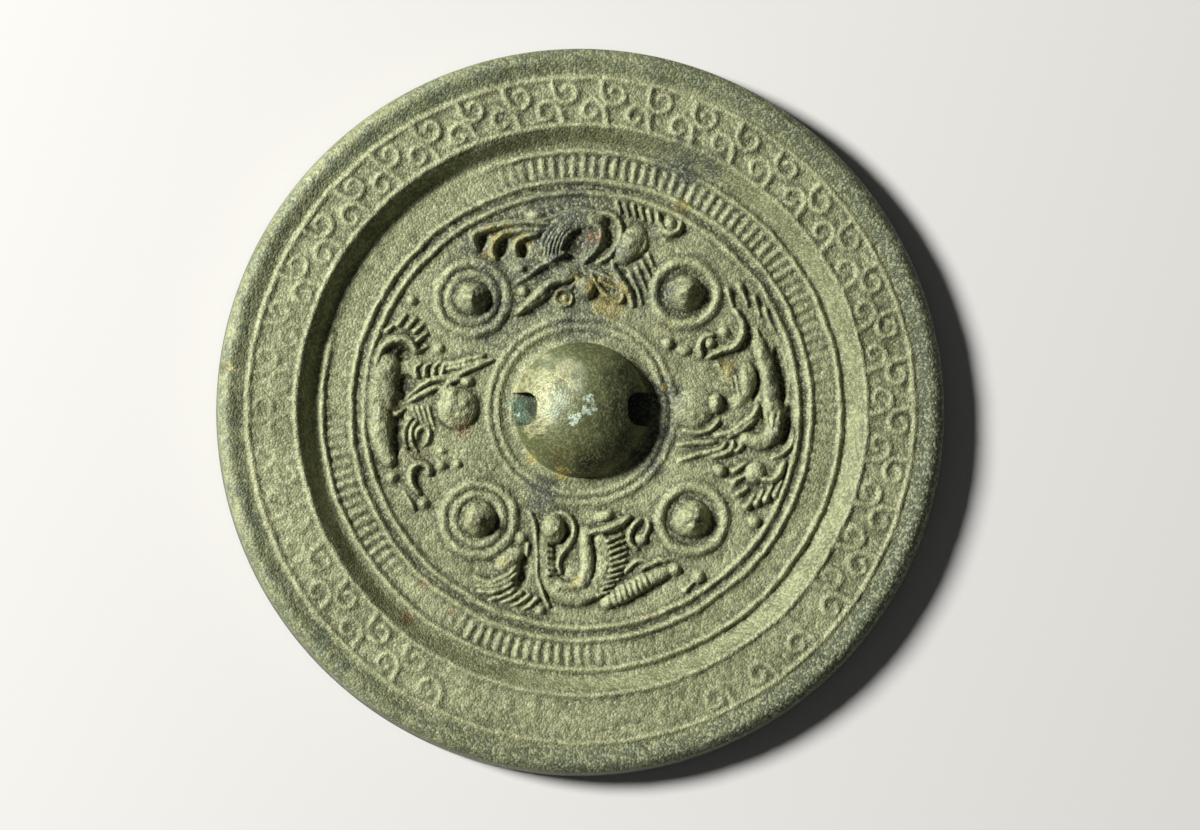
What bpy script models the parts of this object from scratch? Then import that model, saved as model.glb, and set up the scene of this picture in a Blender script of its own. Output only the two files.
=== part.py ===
"""Ancient bronze mirror, cast in one piece, lying on its polished face.

The decorated back looks up (+Z), the top of its picture points to +Y, and the
hole for a cord runs through the knob along X. The origin is at the middle of
the face. Lengths are in metres, angles in degrees. The figures are drawn in
their own units, a drawing unit being about a millimetre on the real mirror.
"""
import bpy
import bmesh
from math import atan2, ceil, cos, degrees, pi, radians, sin
from mathutils import Matrix

# Disc: the face swells gently towards its middle, which is flat so that it rests
MIRROR_RADIUS = 0.0550
FACE_SAG = 0.0010
FLAT_SPOT_RADIUS = 0.0180
FACE_RINGS = 2
TURN_STEPS = 52

# Side and lip of the rim
SIDE_HEIGHT = 0.0034
SIDE_TAPER = 0.0005
SHOULDER_WIDTH = 0.0006
LIP_WIDTH = 0.0038
LIP_CREST_INSET = 0.0024
LIP_HEIGHT = 0.0009

# Rim zone with two rows of cloud scrolls, and the wall down to the inner zone
RIM_THICKNESS = 0.0053
BEAD_WIDTH = 0.0011
BEAD_HEIGHT = 0.0004
SCROLL_BAND_WIDTH = 0.0060
WALL_WIDTH = 0.0021
WALL_FOOT_WIDTH = 0.0006

# Comb band between ring ridges, and the field of the four beasts
FIELD_THICKNESS = 0.0028
RIDGE_WIDTH = 0.0011
RIDGE_HEIGHT = 0.0005
COMB_BAND_WIDTH = 0.0033
GROOVE_WIDTH = 0.0008
COMB_COUNT = 150
COMB_START = 0.7
TOOTH_WIDTH = 0.0009
TOOTH_HEIGHT = 0.0004
TOOTH_END_GAP = 0.0001
COMB_SECTORS = ((-25, 108), (166, 220), (240, 273))

# Cloud scrolls, spaced by eye, closer on one side, and worn off the lower rim
SCROLL_COUNT = 41
SCROLL_DRIFT = 2.5
SCROLL_SIZE = 0.0015
SCROLL_LINE_WIDTH = 0.0009
SCROLL_LINE_HEIGHT = 0.0004
SCROLL_TURN_STEPS = 3
SCROLL_STEM_REACH = 1.15
SCROLL_CURL_START = -50
SCROLL_CURL_SWEEP = -200
SCROLL_CURL_REACH = 1.1
SCROLL_CURL_SHRINK = 0.4
OUTER_SCROLL_START = 6.5
INNER_SCROLL_START = 2.0
OUTER_SCROLLS_WORN = (246, 290)
INNER_SCROLLS_WORN = (246, 320)

# Four nipples, each on a ring, and the shares of radius and height that shape their flank
NIPPLE_RADIUS = 0.0029
NIPPLE_HEIGHT = 0.0027
NIPPLE_RING_RADIUS = 0.0049
NIPPLE_RING_WIDTH = 0.0011
NIPPLE_SIDES = 10
NIPPLE_RING_SIDES = 14
NIPPLE_FLANK = ((0.28, 0.84), (0.62, 0.56))
NIPPLE_PLACES = ((15.8, 17.8), (-16.6, 17.0), (-15.6, -16.6), (16.8, -16.6))

# Knob with its cord hole, inside two ring ridges
KNOB_RADIUS = 0.0104
KNOB_HEIGHT = 0.0072
KNOB_SIDES = 28
KNOB_CURVE_POINTS = 5
KNOB_FLANK_POWER = 0.9
KNOB_CROWN_POWER = 0.8
NUB_RADIUS = 0.0012
NUB_HEIGHT = 0.0003
KNOB_RING_RADII = (0.0131, 0.0140)
KNOB_RING_WIDTH = 0.0009
KNOB_RING_SIDES = 30
CORD_HOLE_WIDTH = 0.0046
CORD_HOLE_HEIGHT = 0.0046
CORD_HOLE_CORNER = 0.0010
CORD_HOLE_SILL = 0.0002

# Relief figures: how high a line stands for its width, and how far it is sunk
LINE_HEIGHT_SHARE = 0.85
LINE_SINK = 0.0001
TAPERED_END = 0.55
MOST_TURN = 40
MOST_HOOK_TURN = 45
DOT_SIDES = 6
MOUND_SIDES = 8
MOUND_TIERS = 4
DRAWN_FIELD_RADIUS = 32.6

# Facets that lie within a degree of each other become one, and points this close are one
FLAT_WITHIN = 1.0
TURNED_MERGE = 0.00001
CAP_MERGE = 0.000001

# Radii and heights that follow from the sizes above, from the edge inwards
lip_foot = MIRROR_RADIUS - LIP_WIDTH
scroll_outer = lip_foot - BEAD_WIDTH
scroll_inner = scroll_outer - SCROLL_BAND_WIDTH
wall_top = scroll_inner - BEAD_WIDTH
wall_foot = wall_top - WALL_WIDTH
comb_outer = wall_foot - WALL_FOOT_WIDTH - RIDGE_WIDTH
comb_inner = comb_outer - COMB_BAND_WIDTH
groove_outer = comb_inner - RIDGE_WIDTH
groove_inner = groove_outer - GROOVE_WIDTH
field_radius = groove_inner - RIDGE_WIDTH
drawing_unit = field_radius / DRAWN_FIELD_RADIUS
scroll_row_width = SCROLL_BAND_WIDTH / 2


def material(name, colour, metallic, roughness):
    """A plain Principled material."""
    mat = bpy.data.materials.new(name)
    mat.use_nodes = True
    shader = mat.node_tree.nodes["Principled BSDF"]
    shader.inputs["Base Color"].default_value = (*colour, 1.0)
    shader.inputs["Metallic"].default_value = metallic
    shader.inputs["Roughness"].default_value = roughness
    return mat


def collection(name):
    """A collection linked to the scene."""
    group = bpy.data.collections.new(name)
    bpy.context.scene.collection.children.link(group)
    return group


def add_object(name, data, group):
    """An object with its data, linked to a collection."""
    obj = bpy.data.objects.new(name, data)
    group.objects.link(obj)
    return obj


def guide(obj):
    """Show a cutter or a joined form as a wire only."""
    obj.hide_render = True
    obj.display_type = "WIRE"
    return obj


# Turned bodies

def face_height(radius):
    """Height of the swelling face above the flat spot it rests on."""
    swell = (radius ** 2 - FLAT_SPOT_RADIUS ** 2) / (MIRROR_RADIUS ** 2 - FLAT_SPOT_RADIUS ** 2)
    return FACE_SAG * max(swell, 0.0)


def bead(outer, width, ground, height):
    """Three profile points of a ridge that starts at an outer radius."""
    return [(outer, ground), (outer - width / 2, ground + height), (outer - width, ground)]


def disc_profile():
    """Half section of the disc, from the middle of its back round to the middle of its face."""
    shoulder = FACE_SAG + SIDE_HEIGHT
    lip_crest = (MIRROR_RADIUS - LIP_CREST_INSET, RIM_THICKNESS + LIP_HEIGHT)
    side_top = MIRROR_RADIUS - SIDE_TAPER
    rounding = (side_top - SHOULDER_WIDTH, (shoulder + lip_crest[1]) / 2 + LIP_HEIGHT / 4)
    inwards = [(side_top, shoulder), rounding, lip_crest]
    inwards += bead(lip_foot, BEAD_WIDTH, RIM_THICKNESS, BEAD_HEIGHT)
    inwards += bead(scroll_inner, BEAD_WIDTH, RIM_THICKNESS, BEAD_HEIGHT)
    inwards += [(wall_foot, FIELD_THICKNESS)]
    inwards += bead(comb_outer + RIDGE_WIDTH, RIDGE_WIDTH, FIELD_THICKNESS, RIDGE_HEIGHT)
    inwards += bead(comb_inner, RIDGE_WIDTH, FIELD_THICKNESS, RIDGE_HEIGHT)
    inwards += bead(groove_inner, RIDGE_WIDTH, FIELD_THICKNESS, RIDGE_HEIGHT)
    points = [(0.0, FIELD_THICKNESS)] + inwards[::-1]
    rings = range(FACE_RINGS, -1, -1)
    spread = MIRROR_RADIUS - FLAT_SPOT_RADIUS
    points += [(FLAT_SPOT_RADIUS + spread * i / FACE_RINGS,
                face_height(FLAT_SPOT_RADIUS + spread * i / FACE_RINGS)) for i in rings]
    return points + [(0.0, 0.0)]


def knob_profile():
    """Half section of the knob: a full dome, steep at its foot, with a small nub on top."""
    crown = FIELD_THICKNESS + KNOB_HEIGHT
    points = [(0.0, crown + NUB_HEIGHT), (NUB_RADIUS, crown)]
    for i in range(1, KNOB_CURVE_POINTS + 1):
        turn = radians(90.0 * i / KNOB_CURVE_POINTS)
        points.append((KNOB_RADIUS * sin(turn) ** KNOB_FLANK_POWER,
                       FIELD_THICKNESS + KNOB_HEIGHT * cos(turn) ** KNOB_CROWN_POWER))
    sunk = FIELD_THICKNESS / 2
    return points + [(KNOB_RADIUS, sunk), (0.0, sunk)]


def nipple_profile():
    """Half section of a nipple: a cone with a hollow flank, a round shoulder and a point."""
    sunk = -NIPPLE_HEIGHT / 4
    flank = [(NIPPLE_RADIUS * out, NIPPLE_HEIGHT * up) for out, up in NIPPLE_FLANK]
    return [(0.0, NIPPLE_HEIGHT)] + flank + [(NIPPLE_RADIUS, 0.0), (NIPPLE_RADIUS, sunk), (0.0, sunk)]


def ring_profile(radius, width, height):
    """Section of a ring ridge, closed below the ground it stands on."""
    return [(radius, height), (radius + width / 2, 0.0), (radius, -height), (radius - width / 2, 0.0)]


def turned(name, profile, steps, group, closed=False):
    """A profile in the XZ plane turned about Z by a Screw modifier."""
    mesh = bpy.data.meshes.new(name)
    edges = [(i, i + 1) for i in range(len(profile) - 1)]
    if closed:
        edges.append((len(profile) - 1, 0))
    mesh.from_pydata([(x, 0.0, z) for x, z in profile], edges, [])
    obj = add_object(name, mesh, group)
    screw = obj.modifiers.new("Turning", "SCREW")
    screw.steps = steps
    screw.render_steps = steps
    screw.use_merge_vertices = True
    screw.merge_threshold = TURNED_MERGE
    screw.use_normal_calculate = closed
    return obj


# Drawing of the relief, in drawing units

def smooth_path(points, spacing=6):
    """Points along a smooth curve through a few drawn points."""
    if len(points) < 3:
        return list(points)
    ends = [points[0]] + list(points) + [points[-1]]
    path = []
    for p0, p1, p2, p3 in zip(ends, ends[1:], ends[2:], ends[3:]):
        for step in range(spacing):
            t = step / spacing
            path.append(tuple(
                0.5 * (2 * b + (c - a) * t + (2 * a - 5 * b + 4 * c - d) * t * t
                       + (3 * b - a - 3 * c + d) * t ** 3)
                for a, b, c, d in zip(p0, p1, p2, p3)))
    return path + [points[-1]]


def thinned(path):
    """Only the points that a faceted line needs: one wherever it has turned enough."""
    kept = [path[0]]
    heading = None
    turned_by = 0.0
    for here, after in zip(path[1:], path[2:]):
        ahead = atan2(after[1] - here[1], after[0] - here[0])
        if heading is not None:
            turned_by += degrees((ahead - heading + pi) % (2 * pi) - pi)
        heading = ahead
        if abs(turned_by) >= MOST_TURN:
            kept.append(here)
            turned_by = 0.0
    return kept + [path[-1]]


def ridge(width, *points):
    """A raised line of a given width through a few points, thinner at its ends."""
    path = thinned(smooth_path(points))
    last = len(path) - 1
    swell = [TAPERED_END + (1 - TAPERED_END) * sin(pi * i / last) ** 0.5 for i in range(last + 1)]
    if last == 1:
        swell = [1.0, TAPERED_END]
    return [(path, [width / 2 * s for s in swell])]


def fan(count, width, first, last, bow=(0.0, 0.0)):
    """Like ridges spread evenly between a first and a last one, bowed in between."""
    marks = []
    for i in range(count):
        t = i / (count - 1)
        arch = sin(pi * t)
        points = [tuple(a + (b - a) * t + push * arch for a, b, push in zip(p, q, bow))
                  for p, q in zip(first, last)]
        marks += ridge(width, *points)
    return marks


def hook(width, x, y, radius, start, sweep, shrink=0.5):
    """A curl: an arc about (x, y) that winds in as it turns."""
    points = []
    parts = max(ceil(abs(sweep) / MOST_HOOK_TURN), 2)
    for i in range(parts + 1):
        t = i / parts
        turn = radians(start + sweep * t)
        reach = radius * (1 - shrink * t)
        points.append((x + reach * cos(turn), y + reach * sin(turn)))
    return ridge(width, *points)


def top_beast():
    """A winged beast, its tail plumes to the left and its back arched over a hollow."""
    lines = ridge(1.3, (-5.2, 28.3), (-10.0, 28.1), (-14.6, 27.2), (-16.5, 25.7), (-15.3, 23.6))
    lines += ridge(1.3, (-6.0, 27.7), (-10.3, 27.2), (-13.2, 26.0), (-13.8, 24.6), (-13.0, 22.8))
    lines += ridge(1.2, (-6.2, 27.1), (-9.2, 26.3), (-10.7, 24.9), (-9.9, 23.1))
    lines += ridge(1.5, (-9.4, 28.9), (-6.5, 30.0), (-2.8, 30.5))
    lines += ridge(3.4, (-5.2, 22.9), (-4.7, 25.4), (-2.6, 28.2), (1.0, 29.2))
    lines += ridge(1.1, (1.0, 29.0), (2.7, 27.4), (2.5, 25.2), (0.4, 22.8))
    lines += ridge(0.9, (-2.5, 29.9), (1.5, 30.3), (5.2, 29.3), (5.9, 26.6), (2.8, 22.6))
    lines += ridge(0.9, (-2.6, 24.1), (-6.4, 21.8), (-10.0, 19.2))
    lines += ridge(1.5, (-1.9, 19.9), (-5.4, 18.9), (-9.9, 14.7))
    lines += ridge(0.9, (1.2, 21.7), (3.4, 18.2), (5.8, 16.3))
    lines += ridge(1.4, (4.8, 21.2), (7.2, 18.2), (8.2, 15.9))
    lines += ridge(2.2, (4.9, 22.3), (7.6, 23.7), (9.4, 25.4), (8.6, 27.4))
    lines += ridge(1.0, (11.4, 29.8), (12.4, 27.8), (14.4, 27.1), (14.8, 28.8))
    lines += fan(3, 0.8, ((8.0, 21.4), (9.2, 16.8)), ((10.2, 23.2), (11.0, 20.4)))
    lines += fan(4, 0.9, ((5.5, 31.8), (6.1, 30.2)), ((9.8, 30.5), (10.3, 28.8)))
    mounds = [(-2.6, 20.9, 2.3, 1.2, 0, 0.9), (0.7, 18.9, 1.6, 1.7, 0, 1.5)]
    dots = [(-2.6, 17.1, 1.1), (-8.7, 18.1, 0.9), (-9.0, 21.6, 0.7), (13.5, 28.4, 0.9)]
    return lines, mounds, dots


def left_beast():
    """A crouching beast whose back follows the border, its round head towards the knob."""
    lines = ridge(1.4, (-30.8, 8.2), (-29.6, 10.4), (-26.5, 12.0))
    lines += ridge(2.3, (-26.2, 7.6), (-30.0, 5.8), (-31.3, 0.2), (-30.9, -5.4), (-28.4, -8.6))
    lines += ridge(0.9, (-26.2, 1.8), (-23.0, 4.0), (-18.4, 5.9), (-13.5, 7.8))
    lines += ridge(0.8, (-26.4, 0.7), (-24.4, 1.7), (-20.8, 3.7))
    lines += ridge(0.8, (-21.2, 5.9), (-17.9, 6.9), (-15.2, 8.1))
    lines += fan(4, 0.8, ((-25.0, 5.1), (-24.9, 7.0)), ((-21.1, 5.6), (-20.3, 7.4)))
    lines += fan(5, 0.9, ((-28.2, 12.9), (-26.6, 14.6)), ((-24.6, 8.8), (-23.0, 9.7)), bow=(0.8, 0.7))
    lines += fan(3, 0.7, ((-25.6, 0.3), (-25.0, -1.5)), ((-23.2, 0.4), (-22.4, -2.4)))
    lines += ridge(0.9, (-25.9, -1.9), (-26.2, -3.8), (-25.6, -5.8))
    lines += hook(0.9, -24.0, -4.0, 1.6, 200, -280)
    lines += hook(1.0, -24.5, -10.6, 1.9, 255, -290)
    lines += ridge(0.9, (-27.0, -12.8), (-25.4, -15.2))
    mounds = [(-18.5, 0.1, 3.3, 3.2, 0, 1.7), (-17.3, 4.1, 1.1, 1.0, 0, 1.0), (-27.0, 9.4, 1.4, 1.2, 30, 0.7)]
    dots = [(-25.7, 16.7, 0.9), (-21.2, 9.4, 0.8), (-28.3, -10.3, 1.0), (-21.0, -8.7, 0.8),
            (-18.6, -8.0, 0.7), (-23.6, -14.1, 1.0)]
    return lines, mounds, dots


def right_beast():
    """A crouching beast that faces the knob, its haunch and claws along the border."""
    lines = ridge(2.0, (27.1, 9.3), (28.6, 4.4), (29.3, -1.4), (28.2, -4.4), (25.3, -4.4))
    lines += ridge(0.8, (15.4, -2.7), (18.6, -3.1), (20.4, -1.6))
    lines += ridge(0.9, (20.0, -3.6), (24.2, -2.0), (27.0, 0.6))
    lines += ridge(0.8, (20.4, -4.3), (24.4, -3.0), (26.6, -1.2))
    lines += ridge(0.8, (14.8, -7.6), (17.4, -6.4), (20.4, -6.0), (21.8, -4.7))
    lines += fan(4, 0.8, ((21.7, -4.5), (20.6, -6.3)), ((25.0, -4.6), (24.9, -6.0)))
    lines += ridge(0.8, (32.0, -3.0), (31.4, -5.8), (28.6, -7.2))
    lines += ridge(1.2, (27.0, -10.3), (28.8, -10.4), (30.3, -8.4))
    lines += fan(4, 0.9, ((25.0, -14.6), (26.0, -12.9)), ((28.9, -13.0), (30.2, -10.8)))
    lines += fan(3, 0.8, ((23.1, -9.3), (24.6, -8.1)), ((24.0, -12.8), (25.2, -11.8)))
    lines += fan(3, 0.8, ((20.8, 4.6), (23.2, 1.3)), ((22.8, 6.2), (24.9, 2.4)))
    lines += hook(1.2, 19.3, 9.8, 1.7, 110, 215, 0.15)
    lines += ridge(1.1, (23.1, 15.0), (24.6, 12.4), (23.8, 9.6), (21.2, 8.5))
    lines += fan(3, 0.8, ((22.2, 18.4), (22.9, 15.6)), ((27.3, 16.6), (28.2, 12.8)), bow=(0.5, 0.8))
    mounds = [(17.4, 0.6, 2.9, 2.7, 0, 1.2), (20.3, 0.8, 1.0, 1.5, 0, 1.7), (25.2, 4.8, 1.3, 2.4, 0, 0.9),
              (25.9, -9.4, 1.5, 1.9, 0, 1.1)]
    dots = [(13.2, 9.9, 1.0), (15.8, 8.9, 0.9), (19.5, 9.9, 0.8), (22.0, 11.4, 1.1), (21.1, -9.1, 1.0),
            (26.1, -16.6, 1.0)]
    return lines, mounds, dots


def bottom_beast():
    """A coiled serpent with a combed flank, a feathered wing and a ribbed tail."""
    lines = ridge(2.0, (-4.6, -16.6), (-5.9, -20.2), (-5.6, -24.6), (-3.6, -28.1), (-0.2, -28.6),
                  (2.4, -26.0), (2.9, -22.4), (2.0, -19.6))
    lines += ridge(1.5, (0.4, -17.8), (0.9, -22.2), (0.6, -25.8), (-1.4, -27.1), (-3.8, -26.2))
    lines += ridge(0.8, (-3.9, -16.1), (-1.4, -17.2), (-1.6, -20.2), (-3.4, -22.8), (-2.9, -24.8))
    lines += ridge(0.9, (-7.9, -15.6), (-6.9, -19.2), (-6.7, -24.6), (-4.5, -30.2))
    lines += ridge(1.1, (1.2, -19.0), (4.4, -18.0), (7.0, -16.4))
    lines += fan(10, 0.7, ((3.8, -20.4), (5.9, -19.4)), ((2.4, -28.4), (4.6, -27.2)), bow=(1.1, 0.0))
    lines += fan(6, 0.9, ((-10.0, -23.8), (-12.8, -25.2), (-16.4, -24.8)),
                 ((-6.8, -28.8), (-8.4, -29.8), (-10.6, -30.2)), bow=(-1.6, 0.0))
    lines += ridge(2.4, (3.4, -29.3), (6.2, -27.8), (9.6, -26.2), (13.4, -24.2))
    lines += fan(6, 0.8, ((4.4, -29.6), (5.2, -27.4)), ((9.4, -27.2), (9.6, -24.8)))
    lines += ridge(0.9, (8.3, -24.3), (10.2, -22.9), (12.9, -23.4))
    lines += hook(1.1, 9.4, -18.8, 2.2, 80, 205, 0.1)
    mounds = [(-5.1, -18.2, 1.5, 2.1, 0, 1.2), (-10.9, -22.5, 2.3, 1.2, 35, 0.8), (3.4, -15.9, 1.4, 0.9, 15, 0.9)]
    dots = [(-8.9, -19.2, 1.0), (9.7, -19.4, 1.1), (14.1, -23.7, 1.1), (17.8, -25.3, 1.0), (-6.2, -30.6, 0.8)]
    return lines, mounds, dots


# Relief solids

def welded(curve_obj, group):
    """A curve object turned into a mesh object with its end caps welded on."""
    bpy.context.view_layer.update()
    seen = curve_obj.evaluated_get(bpy.context.evaluated_depsgraph_get())
    mesh = bpy.data.meshes.new_from_object(seen)
    obj = add_object(curve_obj.name + "_solid", mesh, group)
    obj.matrix_world = curve_obj.matrix_world.copy()
    bpy.data.objects.remove(curve_obj)
    shape = bmesh.new()
    shape.from_mesh(mesh)
    bmesh.ops.remove_doubles(shape, verts=shape.verts, dist=CAP_MERGE)
    bmesh.ops.recalc_face_normals(shape, faces=shape.faces)
    shape.to_mesh(mesh)
    shape.free()
    return obj


def lines_solid(name, lines, ground, height_share, group):
    """Raised lines as four-sided tubes, pressed to their height and sunk in the ground."""
    curve = bpy.data.curves.new(name, "CURVE")
    curve.dimensions = "3D"
    curve.twist_mode = "Z_UP"
    curve.bevel_depth = 1.0
    curve.bevel_resolution = 0
    curve.use_fill_caps = True
    for path, radii in lines:
        spline = curve.splines.new("POLY")
        spline.points.add(len(path) - 1)
        for point, (x, y), radius in zip(spline.points, path, radii):
            point.co = (x, y, 0.0, 1.0)
            point.radius = radius
    obj = welded(add_object(name, curve, group), group)
    obj.data.transform(Matrix.Diagonal((1.0, 1.0, height_share, 1.0)))
    obj.data.transform(Matrix.Translation((0.0, 0.0, ground - LINE_SINK)))
    return guide(obj)


def domes_solid(name, domes, ground, group):
    """Flattened balls: (x, y, half length, half width, turn, height, sides) each."""
    shape = bmesh.new()
    for x, y, length, width, turn, height, sides in domes:
        place = Matrix.Translation((x, y, ground - LINE_SINK))
        place = place @ Matrix.Rotation(radians(turn), 4, "Z")
        place = place @ Matrix.Diagonal((length, width, height, 1.0))
        bmesh.ops.create_uvsphere(shape, u_segments=sides, v_segments=MOUND_TIERS, radius=1.0, matrix=place)
    mesh = bpy.data.meshes.new(name)
    shape.to_mesh(mesh)
    shape.free()
    return guide(add_object(name, mesh, group))


def scaled_lines(lines):
    """Lines brought from drawing units to metres."""
    return [([(x * drawing_unit, y * drawing_unit) for x, y in path], [r * drawing_unit for r in radii])
            for path, radii in lines]


def beast_solids(name, drawing, group):
    """One beast: its lines, its mounds and its dots."""
    lines, mounds, dots = drawing
    lines_solid(name + "_lines", scaled_lines(lines), FIELD_THICKNESS, LINE_HEIGHT_SHARE, group)
    forms = [(x, y, length, width, turn, height, MOUND_SIDES) for x, y, length, width, turn, height in mounds]
    forms += [(x, y, radius, radius, 0, radius, DOT_SIDES) for x, y, radius in dots]
    domes = [(*(v * drawing_unit for v in (x, y, length, width)), turn, height * drawing_unit, sides)
             for x, y, length, width, turn, height, sides in forms]
    domes_solid(name + "_mounds", domes, FIELD_THICKNESS, group)


def in_sector(angle, start, end):
    """Whether an angle lies in a sector that runs from start up to end."""
    return (angle - start) % 360 <= (end - start) % 360


def comb_teeth(group):
    """Short radial teeth, left out where the band is worn smooth."""
    lines = []
    inner = comb_inner + TOOTH_END_GAP
    outer = comb_outer - TOOTH_END_GAP
    for i in range(COMB_COUNT):
        angle = COMB_START + 360.0 * i / COMB_COUNT
        if any(in_sector(angle, *sector) for sector in COMB_SECTORS):
            c, s = cos(radians(angle)), sin(radians(angle))
            lines.append(([(inner * c, inner * s), (outer * c, outer * s)], [TOOTH_WIDTH / 2] * 2))
    lines_solid("comb_teeth", lines, FIELD_THICKNESS, 2 * TOOTH_HEIGHT / TOOTH_WIDTH, group)


def scroll(angle, radius, side):
    """One cloud scroll: a limb from the nearer border that winds round into a curl.

    side is 1 for the outer row, whose scrolls hang from the outer border, and -1
    for the inner row, whose scrolls stand on the inner border.
    """
    local = [(SCROLL_STEM_REACH * SCROLL_SIZE, scroll_row_width / 2)]
    for i in range(SCROLL_TURN_STEPS + 1):
        t = i / SCROLL_TURN_STEPS
        turn = radians(SCROLL_CURL_START + SCROLL_CURL_SWEEP * t)
        reach = SCROLL_SIZE * (SCROLL_CURL_REACH - SCROLL_CURL_SHRINK * t)
        local.append((reach * cos(turn), reach * sin(turn)))
    c, s = cos(radians(angle)), sin(radians(angle))
    path = []
    for along, out in local:
        out = radius + side * out
        along = side * along
        path.append((out * c - along * s, out * s + along * c))
    widths = [1.0] * (len(path) - 1) + [TAPERED_END]
    return path, [SCROLL_LINE_WIDTH / 2 * w for w in widths]


def cloud_scrolls(group):
    """Two rows of scrolls, facing each other and set half a pitch apart."""
    rows = ((OUTER_SCROLL_START, scroll_outer - scroll_row_width / 2, 1, OUTER_SCROLLS_WORN),
            (INNER_SCROLL_START, scroll_inner + scroll_row_width / 2, -1, INNER_SCROLLS_WORN))
    lines = []
    for start, radius, side, worn in rows:
        for i in range(SCROLL_COUNT):
            angle = start + 360.0 * i / SCROLL_COUNT - SCROLL_DRIFT * sin(pi * i / SCROLL_COUNT)
            if not in_sector(angle, *worn):
                lines.append(scroll(angle, radius, side))
    lines_solid("cloud_scrolls", lines, RIM_THICKNESS, 2 * SCROLL_LINE_HEIGHT / SCROLL_LINE_WIDTH, group)


def nipples(group):
    """Four nipples and their rings."""
    for number, (x, y) in enumerate(NIPPLE_PLACES, 1):
        boss = turned(f"nipple_{number}", nipple_profile(), NIPPLE_SIDES, group)
        ring = turned(f"nipple_ring_{number}",
                      ring_profile(NIPPLE_RING_RADIUS, NIPPLE_RING_WIDTH, RIDGE_HEIGHT),
                      NIPPLE_RING_SIDES, group, closed=True)
        for obj in (boss, ring):
            obj.location = (x * drawing_unit, y * drawing_unit, FIELD_THICKNESS - LINE_SINK)
            guide(obj)


def knob(group):
    """The knob and the two ring ridges about its foot."""
    guide(turned("knob", knob_profile(), KNOB_SIDES, group))
    for number, radius in enumerate(KNOB_RING_RADII, 1):
        ring = turned(f"knob_ring_{number}", ring_profile(radius, KNOB_RING_WIDTH, RIDGE_HEIGHT),
                      KNOB_RING_SIDES, group, closed=True)
        ring.location.z = FIELD_THICKNESS - LINE_SINK
        guide(ring)


def cord_hole(group):
    """The cutter for the cord hole: flat below, rounded at its upper corners."""
    half = CORD_HOLE_WIDTH / 2
    corner = CORD_HOLE_CORNER
    outline = [(-half, 0.0), (half, 0.0)]
    for side, start in ((1, 0), (-1, 90)):
        for turn in (start, start + 45, start + 90):
            outline.append((side * (half - corner) + corner * cos(radians(turn)),
                            CORD_HOLE_HEIGHT - corner + corner * sin(radians(turn))))
    curve = bpy.data.curves.new("cord_hole", "CURVE")
    curve.dimensions = "2D"
    curve.fill_mode = "BOTH"
    curve.extrude = KNOB_RADIUS + RIDGE_WIDTH / 2
    spline = curve.splines.new("POLY")
    spline.points.add(len(outline) - 1)
    spline.use_cyclic_u = True
    for point, (x, y) in zip(spline.points, outline):
        point.co = (x, y, 0.0, 1.0)
    cutter = add_object("cord_hole", curve, group)
    cutter.rotation_euler = (radians(90), 0.0, radians(90))
    cutter.location.z = FIELD_THICKNESS + CORD_HOLE_SILL
    return guide(welded(cutter, group))


def boolean(obj, name, operation, operand):
    """A Boolean modifier with the exact solver, on an object or a whole collection."""
    mod = obj.modifiers.new(name, "BOOLEAN")
    mod.operation = operation
    mod.solver = "EXACT"
    mod.use_self = True
    if isinstance(operand, bpy.types.Collection):
        mod.operand_type = "COLLECTION"
        mod.collection = operand
    else:
        mod.object = operand


def main():
    """Build the mirror as one casting."""
    for obj in list(bpy.data.objects):
        bpy.data.objects.remove(obj)
    casting = collection("bronze_mirror")
    relief = collection("relief_forms")
    cutters = collection("cutters")

    mirror = turned("bronze_mirror", disc_profile(), TURN_STEPS, casting)
    mirror.data.materials.append(material("patinated_cast_bronze", (0.30, 0.31, 0.21), 0.35, 0.62))
    knob(relief)
    nipples(relief)
    comb_teeth(relief)
    cloud_scrolls(relief)
    for name, drawing in (("top_beast", top_beast()), ("left_beast", left_beast()),
                          ("right_beast", right_beast()), ("bottom_beast", bottom_beast())):
        beast_solids(name, drawing, relief)
    boolean(mirror, "Relief", "UNION", relief)
    boolean(mirror, "Cord hole", "DIFFERENCE", cord_hole(cutters))
    flats = mirror.modifiers.new("Flat grounds", "DECIMATE")
    flats.decimate_type = "DISSOLVE"
    flats.angle_limit = radians(FLAT_WITHIN)


main()
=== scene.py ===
"""The looks of an ancient bronze mirror that lies on its reflecting face.

The mirror is one casting, so it is one piece: a blank is spun from a half
section, the relief is pressed into its back from a height map that is drawn
here mark by mark, and the cord hole is cut through the knob. Lengths are in
metres. The figures are drawn in their own units, of about a millimetre.
"""
from math import ceil, cos, pi, radians, sin

import bpy
import numpy as np
from mathutils import Matrix, Vector


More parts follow.
